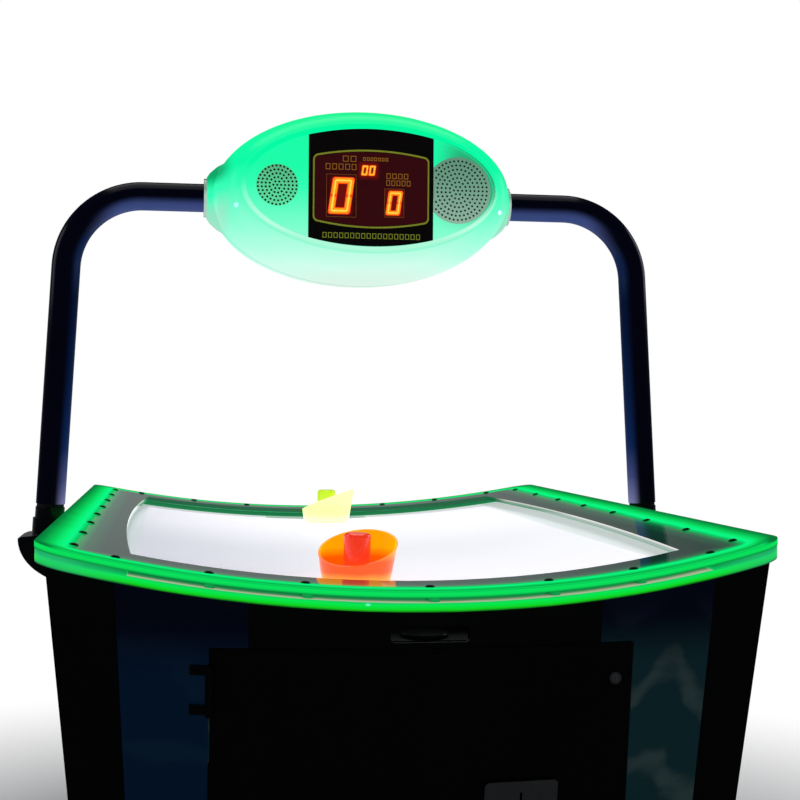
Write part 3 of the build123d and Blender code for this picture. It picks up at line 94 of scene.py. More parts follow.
class Paint:
    """A procedural material: a Principled shader, and nodes that vary it over the surface."""

    SOCKETS = {
        "base": "Base Color", "metallic": "Metallic", "roughness": "Roughness", "ior": "IOR",
        "specular": "Specular IOR Level", "coat": "Coat Weight", "coat_roughness": "Coat Roughness",
        "transmission": "Transmission Weight", "sheen": "Sheen Weight",
        "sheen_roughness": "Sheen Roughness", "emission": "Emission Color", "glow": "Emission Strength",
    }

    def __init__(self, name, **values):
        """New material; values are set directly on the shader's sockets."""
        self.material = bpy.data.materials.new(name)
        self.material.use_nodes = True
        self.tree = self.material.node_tree
        self.shader = self.tree.nodes["Principled BSDF"]
        for key, value in values.items():
            self.shader.inputs[self.SOCKETS[key]].default_value = value
        self.place = self.tree.nodes.new("ShaderNodeTexCoord").outputs["Object"]
        split = self.tree.nodes.new("ShaderNodeSeparateXYZ")
        self.tree.links.new(self.place, split.inputs[0])
        self.x, self.y, self.z = (Wire(self, output) for output in split.outputs)
        facing = self.tree.nodes.new("ShaderNodeNewGeometry").outputs["Normal"]
        split = self.tree.nodes.new("ShaderNodeSeparateXYZ")
        self.tree.links.new(facing, split.inputs[0])
        self.facing_x, self.facing_y, self.facing_z = (Wire(self, output) for output in split.outputs)

    def feed(self, socket, value):
        """Links a wire to a socket, or sets a plain value on it."""
        if isinstance(value, Wire):
            self.tree.links.new(value.socket, socket)
        else:
            socket.default_value = value

    def math(self, operation, *values, clamp=False):
        """One arithmetic node."""
        node = self.tree.nodes.new("ShaderNodeMath")
        node.operation = operation
        node.use_clamp = clamp
        for socket, value in zip(node.inputs, values):
            self.feed(socket, value)
        return Wire(self, node.outputs[0])

    def least(self, first, second):
        return self.math("MINIMUM", first, second)

    def most(self, first, second):
        return self.math("MAXIMUM", first, second)

    def root(self, wire):
        return self.math("SQRT", wire)

    def step(self, wire, low, high):
        """0 below low, 1 above high, smooth between them; low may be the larger."""
        node = self.tree.nodes.new("ShaderNodeMapRange")
        node.interpolation_type = "SMOOTHSTEP"
        for socket, value in zip(node.inputs, (wire, low, high, 0.0, 1.0)):
            self.feed(socket, value)
        return Wire(self, node.outputs[0])

    def stretched(self, stretch):
        """The place on the table, scaled along each axis."""
        node = self.tree.nodes.new("ShaderNodeVectorMath")
        node.operation = "MULTIPLY"
        self.tree.links.new(self.place, node.inputs[0])
        node.inputs[1].default_value = stretch
        return node.outputs[0]

    def noise(self, scale, detail=3.0, stretch=(1, 1, 1), roughness=0.5, twist=0.0):
        """Soft noise from 0 to 1, with features of about 1 / scale metres."""
        node = self.tree.nodes.new("ShaderNodeTexNoise")
        self.tree.links.new(self.stretched(stretch), node.inputs["Vector"])
        node.inputs["Scale"].default_value = scale
        node.inputs["Detail"].default_value = detail
        node.inputs["Roughness"].default_value = roughness
        node.inputs["Distortion"].default_value = twist
        return Wire(self, node.outputs[0])

    def cells(self, scale, stretch=(1, 1, 1), feature="F1"):
        """Distance field of scattered cells, of about 1 / scale metres."""
        node = self.tree.nodes.new("ShaderNodeTexVoronoi")
        node.feature = feature
        self.tree.links.new(self.stretched(stretch), node.inputs["Vector"])
        node.inputs["Scale"].default_value = scale
        return Wire(self, node.outputs["Distance"])

    def ramp(self, wire, *stops):
        """Colour along a wire: each stop is (value, colour in bytes), in rising order."""
        low, high = stops[0][0], stops[-1][0]
        node = self.tree.nodes.new("ShaderNodeValToRGB")
        share = self.math("DIVIDE", wire - low, high - low, clamp=True)
        self.tree.links.new(share.socket, node.inputs[0])
        elements = node.color_ramp.elements
        for place, colour in stops[1:-1]:
            elements.new((place - low) / (high - low)).color = linear(colour)
        elements[0].color = linear(stops[0][1])
        elements[-1].color = linear(stops[-1][1])
        return Wire(self, node.outputs[0])

    def mix(self, share, first, second):
        """Two colours mixed; each is a wire or three bytes."""
        node = self.tree.nodes.new("ShaderNodeMix")
        node.data_type = "RGBA"
        ends = [v if isinstance(v, Wire) else linear(v) for v in (first, second)]
        for socket, value in zip((node.inputs[0], node.inputs[6], node.inputs[7]), (share, *ends)):
            self.feed(socket, value)
        return Wire(self, node.outputs[2])

    def drive(self, **wires):
        """Links wires to the shader's sockets."""
        for key, wire in wires.items():
            self.feed(self.shader.inputs[self.SOCKETS[key]], wire)
        return self

    def relief(self, height, depth):
        """Raises the surface by a wire from 0 to 1, depth metres at most."""
        node = self.tree.nodes.new("ShaderNodeBump")
        node.inputs["Distance"].default_value = depth
        self.tree.links.new(height.socket, node.inputs["Height"])
        self.tree.links.new(node.outputs[0], self.shader.inputs["Normal"])
        return self

    # Places on the table, as wires in metres.
    def rim_inset(self):
        """Distance inwards from the rim's outer edge, in plan."""
        side = HALF_WIDTH - abs(self.x)
        along = abs(self.y) + (END_RADIUS - HALF_LENGTH)
        end = END_RADIUS - self.root(self.x * self.x + along * along)
        near_side, near_end = (self.most(CORNER - edge, 0.0) for edge in (side, end))
        beyond = self.most(self.least(side, end) - CORNER, 0.0)
        return beyond + CORNER - self.root(near_side * near_side + near_end * near_end)

    def closed_corner(self):
        """1 where the slot under the cover plate is closed, at the four corners."""
        return self.step(abs(self.x), 0.455, 0.459) * self.step(abs(self.y), 0.758, 0.762)

    def below_rim(self):
        """Height below the trough-shaped surface of the cover plate's top."""
        surface = (RIM_TOP + TROUGH_RADIUS) - self.root(TROUGH_RADIUS ** 2 - self.x * self.x)
        return surface - self.z

    def above_sign_middle(self):
        """Height above the middle of the sign."""
        return self.z - SIGN_MIDDLE


# ---------------------------------------------------------------- lit plastics
def smoked_cover():
    """Glossy smoked plate, lit green from below along its edge."""
    paint = Paint("smoked_cover", roughness=0.07, ior=1.49, glow=1.0)
    inset = paint.rim_inset()
    wander = paint.noise(9, 2, (1, 1, 1)) - 0.5
    place = inset + wander * 0.007
    lit = paint.ramp(place, (0.0, (1, 118, 54)), (0.008, (2, 142, 64)), (0.020, (3, 190, 80)),
                     (0.034, (4, 236, 112)), (0.045, (6, 250, 138)), (0.053, (5, 206, 100)),
                     (0.062, (8, 138, 72)), (0.074, (14, 84, 54)), (0.10, (16, 52, 40)),
                     (0.2, (14, 38, 30)))
    edge = paint.ramp(paint.below_rim(), (0.0003, (2, 196, 86)), (0.0025, (4, 226, 92)),
                      (0.0065, (5, 220, 88)), (0.0085, (3, 176, 72)), (0.0099, (2, 136, 58)))
    upright = paint.step(abs(paint.facing_z), 0.7, 0.5)
    outer = upright * paint.step(inset, 0.04, 0.02)
    inner = upright * paint.step(inset, 0.08, 0.10)
    # Painted light on the window's cut wall: pale near its top and greener lower down, with a dimmer green
    # painted glow on the far wall.
    far_wall = paint.step(paint.y, 0.55, 0.70)
    lip = paint.ramp(paint.below_rim(), (0.0005, (216, 214, 208)), (0.0026, (204, 206, 200)),
                     (0.0038, (132, 158, 146)), (0.0086, (116, 150, 134)), (0.0098, (22, 128, 84)))
    wall = paint.mix(far_wall, lip, (6, 96, 58))
    bowed_end = paint.step(HALF_WIDTH - abs(paint.x), 0.02, 0.05) * paint.step(inset, 0.016, 0.004)
    far_end = paint.step(paint.y, 0.70, 0.85)
    lit = paint.mix(bowed_end * (1.0 - far_end * 0.6), lit, (3, 218, 92))
    face = paint.mix(outer, lit, edge)
    face = paint.mix(inner * 0.9, face, wall)
    dust = paint.noise(420, 4)
    paint.drive(emission=face, base=paint.mix(dust, (10, 12, 11), (16, 20, 18)),
                roughness=0.05 + paint.step(dust, 0.55, 0.85) * 0.12,
                specular=paint.step(place, 0.056, 0.080) * 0.27)
    return paint


def lit_ring():
    """Translucent light ring under the cover plate."""
    paint = Paint("lit_ring", roughness=0.3, specular=0.03, glow=1.0)
    depth = paint.below_rim()
    cloud = paint.noise(14, 3)
    face = paint.ramp(depth + (cloud - 0.5) * 0.003, (0.012, (4, 150, 70)), (0.017, (8, 190, 92)),
                      (0.0195, (5, 230, 84)), (0.024, (4, 224, 56)), (0.0275, (16, 204, 22)),
                      (0.0295, (16, 150, 12)), (0.031, (6, 70, 12)))
    glints = paint.step(paint.cells(17, (1, 1, 0)), 0.11, 0.05)
    glints = glints * paint.step(abs(depth - 0.0205), 0.0022, 0.001)
    face = paint.mix(glints, face, (120, 255, 226))
    corner = paint.step(abs(paint.x), 0.44, 0.56) * paint.step(abs(paint.y), 0.80, 0.87)
    face = paint.mix(corner * (0.25 + cloud * 0.5), face, (44, 184, 122))
    ledge = paint.step(abs(paint.facing_z), 0.5, 0.7) * paint.step(depth, 0.024, 0.021)
    ledge = ledge * (1.0 - paint.closed_corner())
    shade = paint.ramp(paint.rim_inset() + (cloud - 0.5) * 0.012, (0.0, (172, 180, 160)),
                       (0.016, (150, 146, 124)), (0.027, (84, 104, 72)), (0.036, (20, 112, 64)),
                       (0.06, (8, 76, 40)))
    face = paint.mix(ledge, face, shade)
    under = paint.step(depth, 0.0302, 0.0308)
    face = paint.mix(under * 0.75, face, (2, 60, 18))
    paint.drive(emission=face, base=paint.mix(cloud, (4, 46, 22), (8, 66, 34)))
    return paint.relief(paint.noise(60, 2), 0.0004)


def slot_pad():
    """Clear green spacer in the slot, with a painted green glow at its outer end that fades to painted shade
    round its screw.
    """
    paint = Paint("slot_pad", roughness=0.25, specular=0.05, glow=1.0)
    cloud = paint.noise(120, 3)
    place = paint.rim_inset() + (cloud - 0.5) * 0.004
    face = paint.ramp(place, (0.008, (16, 156, 74)), (0.02, (8, 112, 50)), (0.04, (3, 62, 26)))
    paint.drive(emission=face, base=paint.mix(cloud, (3, 40, 20), (6, 56, 30)))
    return paint


def led_lamps(name, low, high, strength):
    """Lit lamp strip: bright dots along a clear lens. On the sign's screws, which are no lamps, the same
    dots are a painted highlight.
    """
    paint = Paint(name, roughness=0.2, glow=strength)
    dots = paint.step(paint.cells(70, (1, 1, 0)), 0.42, 0.10)
    paint.drive(emission=paint.mix(dots, low, high), base=paint.mix(dots, low, (225, 240, 235)))
    return paint


def milky_rail():
    """White translucent rail between the playing board and the cover, catching the green light."""
    paint = Paint("milky_rail", roughness=0.35, specular=0.2, glow=1.0)
    depth = paint.below_rim()
    cloud = paint.noise(35, 3)
    level = depth + (cloud - 0.5) * 0.003
    long_side = paint.ramp(level, (0.010, (14, 128, 82)), (0.0125, (20, 148, 96)),
                           (0.0142, (146, 182, 164)), (0.020, (192, 204, 196)), (0.027, (206, 212, 208)))
    short_side = paint.ramp(level, (0.0105, (2, 76, 42)), (0.0125, (44, 184, 112)),
                            (0.0150, (40, 176, 106)), (0.0172, (3, 100, 54)), (0.027, (8, 128, 72)))
    end = paint.step(abs(paint.y), 0.80, 0.84)
    paint.drive(emission=paint.mix(end, long_side, short_side),
                base=paint.mix(cloud, (34, 52, 42), (44, 62, 52)))
    return paint


def playing_board():
    """White laminate with a grid of fine air holes, brightly lit by the rim."""
    paint = Paint("playing_board", roughness=0.42, specular=0.12, glow=1.0)
    pitch, hole = 0.0254, 0.0008
    holes = []
    for wire in (paint.x, paint.y):
        share = paint.math("FRACT", wire / pitch + 100.5) - 0.5
        holes.append(share * pitch)
    radius = paint.root(holes[0] * holes[0] + holes[1] * holes[1])
    solid = paint.step(radius, hole * 0.5, hole * 1.25)
    cloud = paint.noise(3.2, 4)
    fine = paint.noise(60, 5)
    # Painted light on the board: painted shade towards the left and under the cover plate's edge, and a
    # painted green glow near the rim.
    left = paint.step(paint.x + paint.y * 0.25, 0.05, -0.60)
    shine = paint.mix(left * 0.85 + (cloud - 0.5) * 0.3, (214, 211, 216), (156, 154, 168))
    under = paint.step(abs(paint.x), WINDOW_HALF - 0.004, WINDOW_HALF + 0.004)
    shine = paint.mix(under * 0.5, shine, (150, 168, 158))
    edge = paint.step(paint.rim_inset(), 0.088, 0.072)
    shine = paint.mix(edge * 0.7, shine, (96, 150, 122))
    board = paint.mix(fine * 0.2, (214, 214, 220), (200, 200, 208))
    paint.drive(base=paint.mix(solid, (96, 100, 104), board),
                emission=paint.mix(solid, (110, 112, 116), shine), roughness=0.38 + fine * 0.12)
    return paint


def sign_plastic():
    """Translucent domed shell of the sign: pure green above, paling towards its underside."""
    paint = Paint("sign_plastic", roughness=0.3, specular=0.05, glow=1.0)
    height = paint.above_sign_middle()
    cloud = paint.noise(7, 3, (1, 1, 1))
    level = height + (cloud - 0.5) * 0.04
    body = paint.ramp(level, (-0.185, (216, 238, 226)), (-0.15, (204, 250, 234)), (-0.12, (180, 252, 226)),
                      (-0.08, (146, 254, 216)), (-0.04, (106, 252, 200)), (0.0, (50, 252, 182)),
                      (0.04, (10, 250, 166)), (0.10, (1, 250, 164)), (0.15, (1, 246, 148)),
                      (0.185, (1, 226, 116)))
    face = paint.step(abs(paint.y), SIGN_DEPTH - 0.0036, SIGN_DEPTH - 0.0028)
    floor = paint.step(abs(paint.y), SIGN_DEPTH - 0.0044, SIGN_DEPTH - 0.0032)
    floor = floor * paint.step(abs(paint.y), SIGN_DEPTH - 0.0022, SIGN_DEPTH - 0.0030)
    body = paint.mix(floor * 0.30, body, (52, 255, 176))
    dim = paint.step(paint.math("SIGN", paint.y) * paint.x * -1.0, 0.12, 0.19)
    dim = dim * paint.step(abs(paint.facing_y), 0.985, 0.996) * paint.step(abs(height - 0.025), 0.12, 0.03)
    body = paint.mix(dim * 0.85, body, (40, 150, 102))
    lip = paint.step(abs(paint.y), SIGN_DEPTH - 0.0016, SIGN_DEPTH - 0.0004)
    lip = lip * paint.step(height, 0.02, -0.08)
    body = paint.mix(lip * 0.65, body, (206, 255, 232))
    band = paint.step(abs(height + 0.128 - paint.x * paint.x * 0.9), 0.016, 0.004) * face
    body = paint.mix(band * 0.35, body, (120, 240, 190))
    tip = paint.step(abs(paint.x), 0.272, 0.305) * paint.step(height, 0.005, 0.045)
    body = paint.mix(tip * 0.7, body, (6, 104, 52))
    pale = paint.step(abs(paint.x), 0.272, 0.305) * paint.step(height, 0.0, -0.05)
    body = paint.mix(pale * 0.55, body, (172, 206, 190))
    seam = paint.step(abs(paint.y), 0.006, 0.0015)
    body = paint.mix(seam * 0.6, body, (70, 158, 118))
    paint.drive(emission=body, base=paint.mix(cloud, (3, 22, 14), (6, 30, 20)))
    return paint.relief(paint.noise(220, 2), 0.00008)


def clear_collar():
    """Clear collar round each arch tube, with a painted glow that is greener towards its top."""
    paint = Paint("clear_collar", roughness=0.16, glow=1.0, coat=0.5, coat_roughness=0.05)
    cloud = paint.noise(30, 3)
    paint.drive(emission=paint.ramp(paint.above_sign_middle() + (cloud - 0.5) * 0.02,
                                    (-0.04, (150, 165, 160)), (0.0, (165, 188, 178)),
                                    (0.02, (60, 110, 88)), (0.04, (16, 70, 44))),
                base=paint.mix(cloud, (90, 100, 96), (120, 130, 125)))
    return paint


# ---------------------------------------------------------------- mallets and puck
def mallet_cup(name, body, foot, rim):
    """Tinted clear plastic cup of a mallet, glowing where the white board shows through."""
    low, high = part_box(name)
    paint = Paint(name + "_tint", roughness=0.12, transmission=0.03, ior=1.45, coat=0.1,
                  coat_roughness=0.04, glow=0.95)
    share = (paint.z - low.z) / (high.z - low.z)
    streak = paint.noise(26, 3, (1, 1, 0.25)) - 0.5
    tint_and_glow = paint.ramp(share + streak * 0.08, (0.0, foot), (0.10, foot), (0.25, body), (0.46, body),
                      (0.66, rim), (1.0, rim))
    # The emission is a painted glow in the tint's colours; the base is the same tint, darkened.
    paint.drive(base=paint.mix(0.6, tint_and_glow, (0, 0, 0)), emission=tint_and_glow)
    return paint


def mallet_knob(name, colour, shade, glow):
    """Tinted knob of a mallet, deeper at its foot."""
    low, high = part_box(name)
    paint = Paint(name + "_tint", roughness=0.2, coat=0.5, coat_roughness=0.05, glow=glow)
    share = (paint.z - low.z) / (high.z - low.z) + (paint.noise(30, 3) - 0.5) * 0.12
    tint_and_glow = paint.ramp(share, (0.0, shade), (0.55, colour), (1.0, colour))
    # The knob's emission is a painted glow in the tint's colours; the base is the same tint, darkened.
    paint.drive(base=paint.mix(0.5, tint_and_glow, (0, 0, 0)), emission=tint_and_glow)
    return paint


def felt():
    """Pale pressed felt."""
    paint = Paint("felt", roughness=0.95, sheen=0.6, sheen_roughness=0.5)
    fluff = paint.noise(900, 5, roughness=0.7)
    paint.drive(base=paint.mix(fluff, (168, 166, 158), (226, 224, 216)))
    return paint.relief(fluff, 0.0004)


def puck_plastic():
    """Dark moulded plastic with fine scuffs."""
    paint = Paint("puck_plastic", roughness=0.28, specular=0.12)
    swirl = paint.noise(40, 4, twist=1.5)
    scuff = paint.step(paint.noise(260, 5, (1, 6, 1)), 0.62, 0.75)
    paint.drive(base=paint.mix(swirl, (13, 13, 16), (24, 24, 28)), roughness=0.25 + scuff * 0.3)
    return paint


# ---------------------------------------------------------------- cabinet
def powder_coat(name, colour, sheen_colour, roughness=0.4, specular=0.14):
    """Fine-grained black coat, with faint handling marks."""
    paint = Paint(name, specular=specular)
    grain = paint.noise(1600, 2)
    marks = paint.noise(5, 6, (1, 1, 0.4), roughness=0.7)
    paint.drive(base=paint.mix(marks, colour, sheen_colour),
                roughness=roughness + (marks - 0.5) * 0.22 + (grain - 0.5) * 0.05)
    return paint.relief(grain, 0.00006)


def black_laminate():
    """Board faced with black laminate, with a pale scuffed line low down."""
    paint = Paint("black_laminate", specular=0.14)
    pores = paint.noise(700, 3, (1, 1, 0.15))
    cloud = paint.noise(4, 5)
    scuff = paint.step(paint.noise(90, 6, (1, 1, 3)), 0.60, 0.72) * paint.step(paint.z, 0.25, 0.05)
    body = paint.mix(cloud, (1, 1, 4), (4, 5, 10))
    paint.drive(base=paint.mix(scuff * 0.5, body, (58, 58, 60)),
                roughness=0.34 + (pores - 0.5) * 0.1 + scuff * 0.2)
    return paint.relief(pores, 0.00005)


def raw_board():
    """Unfaced fibreboard of the inner boxes."""
    paint = Paint("raw_board", roughness=0.75)
    fibre = paint.noise(380, 5, (1, 1, 2.5), roughness=0.7)
    cloud = paint.noise(6, 3)
    body = paint.mix(cloud, (44, 42, 40), (62, 58, 53))
    paint.drive(base=paint.mix(fibre * 0.5, body, (84, 78, 70)))
    return paint.relief(fibre, 0.0002)


def wave_artwork():
    """Gloss artwork of plain diagonal pale streaks over deep blue and teal, with a painted glow and painted
    highlights on its right side.
    """
    paint = Paint("wave_artwork", coat=0.12, coat_roughness=0.08, specular=0.12, roughness=0.3, glow=1.0)
    across = paint.x + paint.y * 0.9
    fold = paint.noise(2.2, 3, twist=0.6) - 0.5
    slope = paint.z - abs(across) * 0.42 + fold * 0.16
    bands = paint.math("SINE", slope * 46 + fold * 9)
    wisps = paint.step(bands + (paint.noise(16, 4, (1, 1, 2.5)) - 0.5) * 1.4, 0.35, 1.1)
    reach = paint.step(paint.z, 0.80, 0.70) * paint.step(paint.z, 0.16, 0.34)
    teal = paint.step(paint.z, 0.76, 0.52)
    # Painted highlight: the streaks are stronger and the painted glow brighter on the right side of each
    # panel.
    right = paint.step(paint.math("TANH", paint.y * 5.0) * paint.x, -0.1, -0.3)
    ground = paint.mix(teal, (1, 3, 20), (1, 12, 24))
    ground = paint.mix(paint.noise(5, 4) * 0.6, ground, (0, 2, 12))
    streak = paint.mix(teal, (14, 22, 38), (20, 44, 52))
    picture = paint.mix(wisps * reach * (0.25 + right * 0.6), ground, streak)
    # The emission is a painted glow: dim blue, with painted highlights along the streaks on the right side.
    painted_glow = paint.mix(right, (0, 13, 30), (7, 27, 30))
    painted_glow = paint.mix(wisps * right, painted_glow, (26, 36, 34))
    # Painted shade: the painted glow fades out towards the top of the panel.
    top = paint.step(paint.z, 0.76, 0.66)
    paint.drive(base=picture, emission=paint.mix(top, (0, 1, 7), painted_glow))
    return paint.relief(paint.noise(30, 2), 0.00015)


def arch_gloss():
    """Deep navy gloss paint of the arch tubes, catching the table's light on its inner side."""
    paint = Paint("arch_gloss", roughness=0.16, coat=0.02, coat_roughness=0.05, specular=0.05, glow=1.0)
    flake = paint.noise(1800, 2)
    cloud = paint.noise(6, 4, (1, 1, 0.4))
    inwards = paint.math("SIGN", paint.x) * paint.facing_x * -1.0
    streak = paint.step(inwards + (cloud - 0.5) * 0.25, 0.35, 0.92)
    low = paint.ramp(paint.z + (cloud - 0.5) * 0.12, (0.87, (112, 114, 158)), (0.93, (56, 66, 114)),
                     (1.0, (12, 34, 80)), (1.12, (4, 24, 58)), (1.32, (2, 14, 42)), (1.42, (18, 34, 72)))
    # Painted glow of the table's light on the underside of the top bar.
    below = paint.step(paint.facing_z * -1.0, 0.05, 0.75) * paint.step(abs(paint.x), 0.585, 0.50)
    glow = paint.mix(streak, (1, 1, 5), low)
    glow = paint.mix(below, glow, (54, 68, 120))
    paint.drive(base=paint.mix(cloud, (2, 2, 10), (5, 6, 22)), roughness=0.14 + flake * 0.1, emission=glow)
    return paint.relief(paint.noise(45, 2), 0.00012)


def cast_enamel():
    """Black enamel over a slightly uneven casting."""
    paint = Paint("cast_enamel", roughness=0.26, coat=0.15, coat_roughness=0.1, specular=0.2)
    skin = paint.noise(170, 4)
    paint.drive(base=paint.mix(skin, (4, 5, 12), (10, 12, 22)), roughness=0.2 + skin * 0.14)
    return paint.relief(skin, 0.00035)


def rubber(name="black_rubber"):
    """Matt black rubber with a little dust."""
    paint = Paint(name, roughness=0.78, specular=0.3)
    dust = paint.noise(240, 5)
    paint.drive(base=paint.mix(paint.step(dust, 0.4, 0.8) * 0.6, (12, 12, 13), (46, 45, 44)))
    return paint.relief(dust, 0.00025)


def metal(name, dark, light, roughness, grain, stretch=(1, 1, 1)):
    """Bare metal with a directional grain and cloudy tarnish."""
    paint = Paint(name, metallic=1.0)
    lines = paint.noise(grain, 3, stretch)
    cloud = paint.noise(28, 4)
    paint.drive(base=paint.mix(cloud * 0.6 + lines * 0.4, dark, light),
                roughness=roughness + (lines - 0.5) * 0.16 + (cloud - 0.5) * 0.08)
    return paint.relief(lines, 0.00004)


def moulded(name, dark, light, roughness=0.5):
    """Moulded plastic with a fine spark texture."""
    paint = Paint(name, specular=0.12)
    spark = paint.noise(1300, 3)
    cloud = paint.noise(18, 3)
    paint.drive(base=paint.mix(cloud, dark, light), roughness=roughness + (spark - 0.5) * 0.14)
    return paint.relief(spark, 0.00008)


def circuit_board():
    """Green board with pale tracks and pads."""
    paint = Paint("circuit_board", roughness=0.4, coat=0.4, coat_roughness=0.2)
    tracks = paint.step(paint.cells(160, (1, 1, 1), "DISTANCE_TO_EDGE"), 0.05, 0.02)
    pads = paint.step(paint.cells(230), 0.22, 0.16)
    board = paint.mix(tracks * 0.6, (6, 52, 24), (34, 104, 50))
    paint.drive(base=paint.mix(pads, board, (196, 176, 104)), metallic=pads * 0.8)
    return paint


def display_glass():
    """Black gloss window, dark red deep behind it."""
    paint = Paint("display_glass", roughness=0.05, coat=0.6, coat_roughness=0.02, specular=0.4)
    cloud = paint.noise(24, 3)
    paint.drive(base=paint.mix(cloud, (3, 1, 2), (8, 4, 5)), roughness=0.04 + cloud * 0.05)
    return paint


def grille_plastic():
    """Grille plastic lit from behind: green on the small side, grey-green on the large side."""
    paint = Paint("grille_plastic", roughness=0.5, glow=1.0)
    cloud = paint.noise(20, 3)
    level = paint.above_sign_middle() + (cloud - 0.5) * 0.03
    large = paint.ramp(level, (-0.06, (118, 150, 132)), (0.0, (84, 128, 106)), (0.06, (48, 106, 80)))
    small = paint.ramp(level, (-0.04, (40, 204, 138)), (0.0, (30, 184, 120)), (0.04, (16, 150, 92)))
    outwards = paint.math("SIGN", paint.y) * paint.x
    pick = paint.step(outwards, -0.05, 0.05)
    paint.drive(emission=paint.mix(pick, large, small),
                base=paint.mix(cloud, (96, 128, 112), (130, 160, 142)))
    return paint.relief(paint.noise(1200, 2), 0.00005)


# ---------------------------------------------------------------- display graphics
def glow_print(name, colour, strength, grain=0.12):
    """Printed or lit graphic of one hue, with slightly uneven light."""
    paint = Paint(name, roughness=0.4, glow=strength)
    uneven = paint.noise(130, 3)
    dim = tuple(round(byte * (1 - grain)) for byte in colour)
    paint.drive(emission=paint.mix(uneven, dim, colour), base=paint.mix(uneven, dim, colour))
    return paint


def seven_segment(name, low, high, strength):
    """Lit digit segment, slightly uneven."""
    paint = Paint(name, roughness=0.35, glow=strength)
    uneven = paint.noise(90, 3)
    paint.drive(emission=paint.mix(uneven, low, high), base=paint.mix(uneven, (90, 44, 4), (110, 60, 8)))
    return paint


def screen_red(boxes):
    """Dark red screen, brighter round each lit digit. boxes are (u, v, half width, half height)."""
    paint = Paint("screen_red", roughness=0.08, coat=0.5, coat_roughness=0.03, glow=1.0)
    u = paint.math("SIGN", paint.y) * paint.x * -1.0
    v = paint.above_sign_middle()
    halo = None
    for centre_u, centre_v, half_u, half_v in boxes:
        du = paint.most(abs(u - centre_u) - half_u, 0.0)
        dv = paint.most(abs(v - centre_v) - half_v, 0.0)
        near = paint.step(paint.root(du * du + dv * dv), 0.011, 0.0)
        halo = near if halo is None else paint.most(halo, near)
    cloud = paint.noise(60, 3)
    ground = paint.mix(cloud, (38, 2, 6), (50, 4, 9))
    paint.drive(emission=paint.mix(halo * 0.75, ground, (118, 12, 6)),
                base=paint.mix(cloud, (18, 2, 3), (26, 4, 4)))
    return paint


# ---------------------------------------------------------------- mesh building
def face_place(side, depth=0.0):
    """Local right, up and out of a sign face as a matrix; depth is measured back from its plane."""
    right, up, out = Vector((-side, 0, 0)), Vector((0, 0, 1)), Vector((0, side, 0))
    matrix = Matrix((right, up, out)).transposed().to_4x4()
    matrix.translation = Vector((0, side * (SIGN_DEPTH - depth), SIGN_MIDDLE))
    return matrix


def flat_solid(name, outlines, place, thick):
    """Solid plate from closed outlines in a plane; outlines inside others are holes."""
    curve = bpy.data.curves.new(name, "CURVE")
    curve.dimensions = "2D"
    curve.fill_mode = "BOTH"
    curve.extrude = thick / 2
    for outline in outlines:
        spline = curve.splines.new("POLY")
        spline.points.add(len(outline) - 1)
        for point, (u, v) in zip(spline.points, outline):
            point.co = (u, v, 0.0, 1.0)
        spline.use_cyclic_u = True
    shape = bpy.data.objects.new(name + "_outline", curve)
    bpy.context.scene.collection.objects.link(shape)
    bpy.context.view_layer.update()
    graph = bpy.context.evaluated_depsgraph_get()
    mesh = bpy.data.meshes.new_from_object(shape.evaluated_get(graph))
    bpy.data.objects.remove(shape)
    mesh.transform(place @ Matrix.Translation((0, 0, thick / 2)))
    work = bmesh.new()
    work.from_mesh(mesh)
    bmesh.ops.remove_doubles(work, verts=work.verts, dist=1e-6)
    bmesh.ops.recalc_face_normals(work, faces=work.faces)
    work.to_mesh(mesh)
    work.free()
    mesh.name = name
    piece = bpy.data.objects.new(name, mesh)
    bpy.context.scene.collection.objects.link(piece)
    return piece


def finish_piece(piece, paint, body):
    """Gives a new piece its material and the body that it rides on."""
    piece.data.materials.clear()
    piece.data.materials.append(paint.material)
    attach(piece, body)


def ring_points(centre, radius, count):
    """Points evenly round a circle."""
    turns = [2 * math.pi * k / count for k in range(count)]
    return [(centre[0] + radius * math.cos(t), centre[1] + radius * math.sin(t)) for t in turns]


def grille_holes(centre, hole, pitch, rings):
    """Centre hole and rings of holes round it, each ring one pitch further out."""
    outlines = [ring_points(centre, hole, 14)]
    for ring in range(1, rings + 1):
        count = round(2 * math.pi * ring)
        for u, v in ring_points(centre, ring * pitch, count):
            outlines.append(ring_points((u, v), hole, 14))
    return outlines


def box_outline(u, v, half_u, half_v):
    """Outline of an upright rectangle."""
    return [(u - half_u, v - half_v), (u + half_u, v - half_v), (u + half_u, v + half_v),
            (u - half_u, v + half_v)]


def barrel_outline(half_u, half_v, rise, corner, centre_v=0.0):
    """Upright-sided outline with rounded corners, whose upper and lower edges bow outwards."""
    turns = [math.pi / 2 * k / 5 for k in range(6)]
    quarter = [(half_u - corner * (1 - math.cos(t)), half_v - corner * (1 - math.sin(t))) for t in turns]
    quarter += [((half_u - corner) * k / 8, half_v) for k in range(7, -1, -1)]
    quarter = [(u, v + rise * (1 - (u / half_u) ** 2)) for u, v in quarter]
    upper = quarter + [(-u, v) for u, v in reversed(quarter[:-1])]
    return [(u, centre_v + v) for u, v in upper] + [(-u, centre_v - v) for u, v in upper]


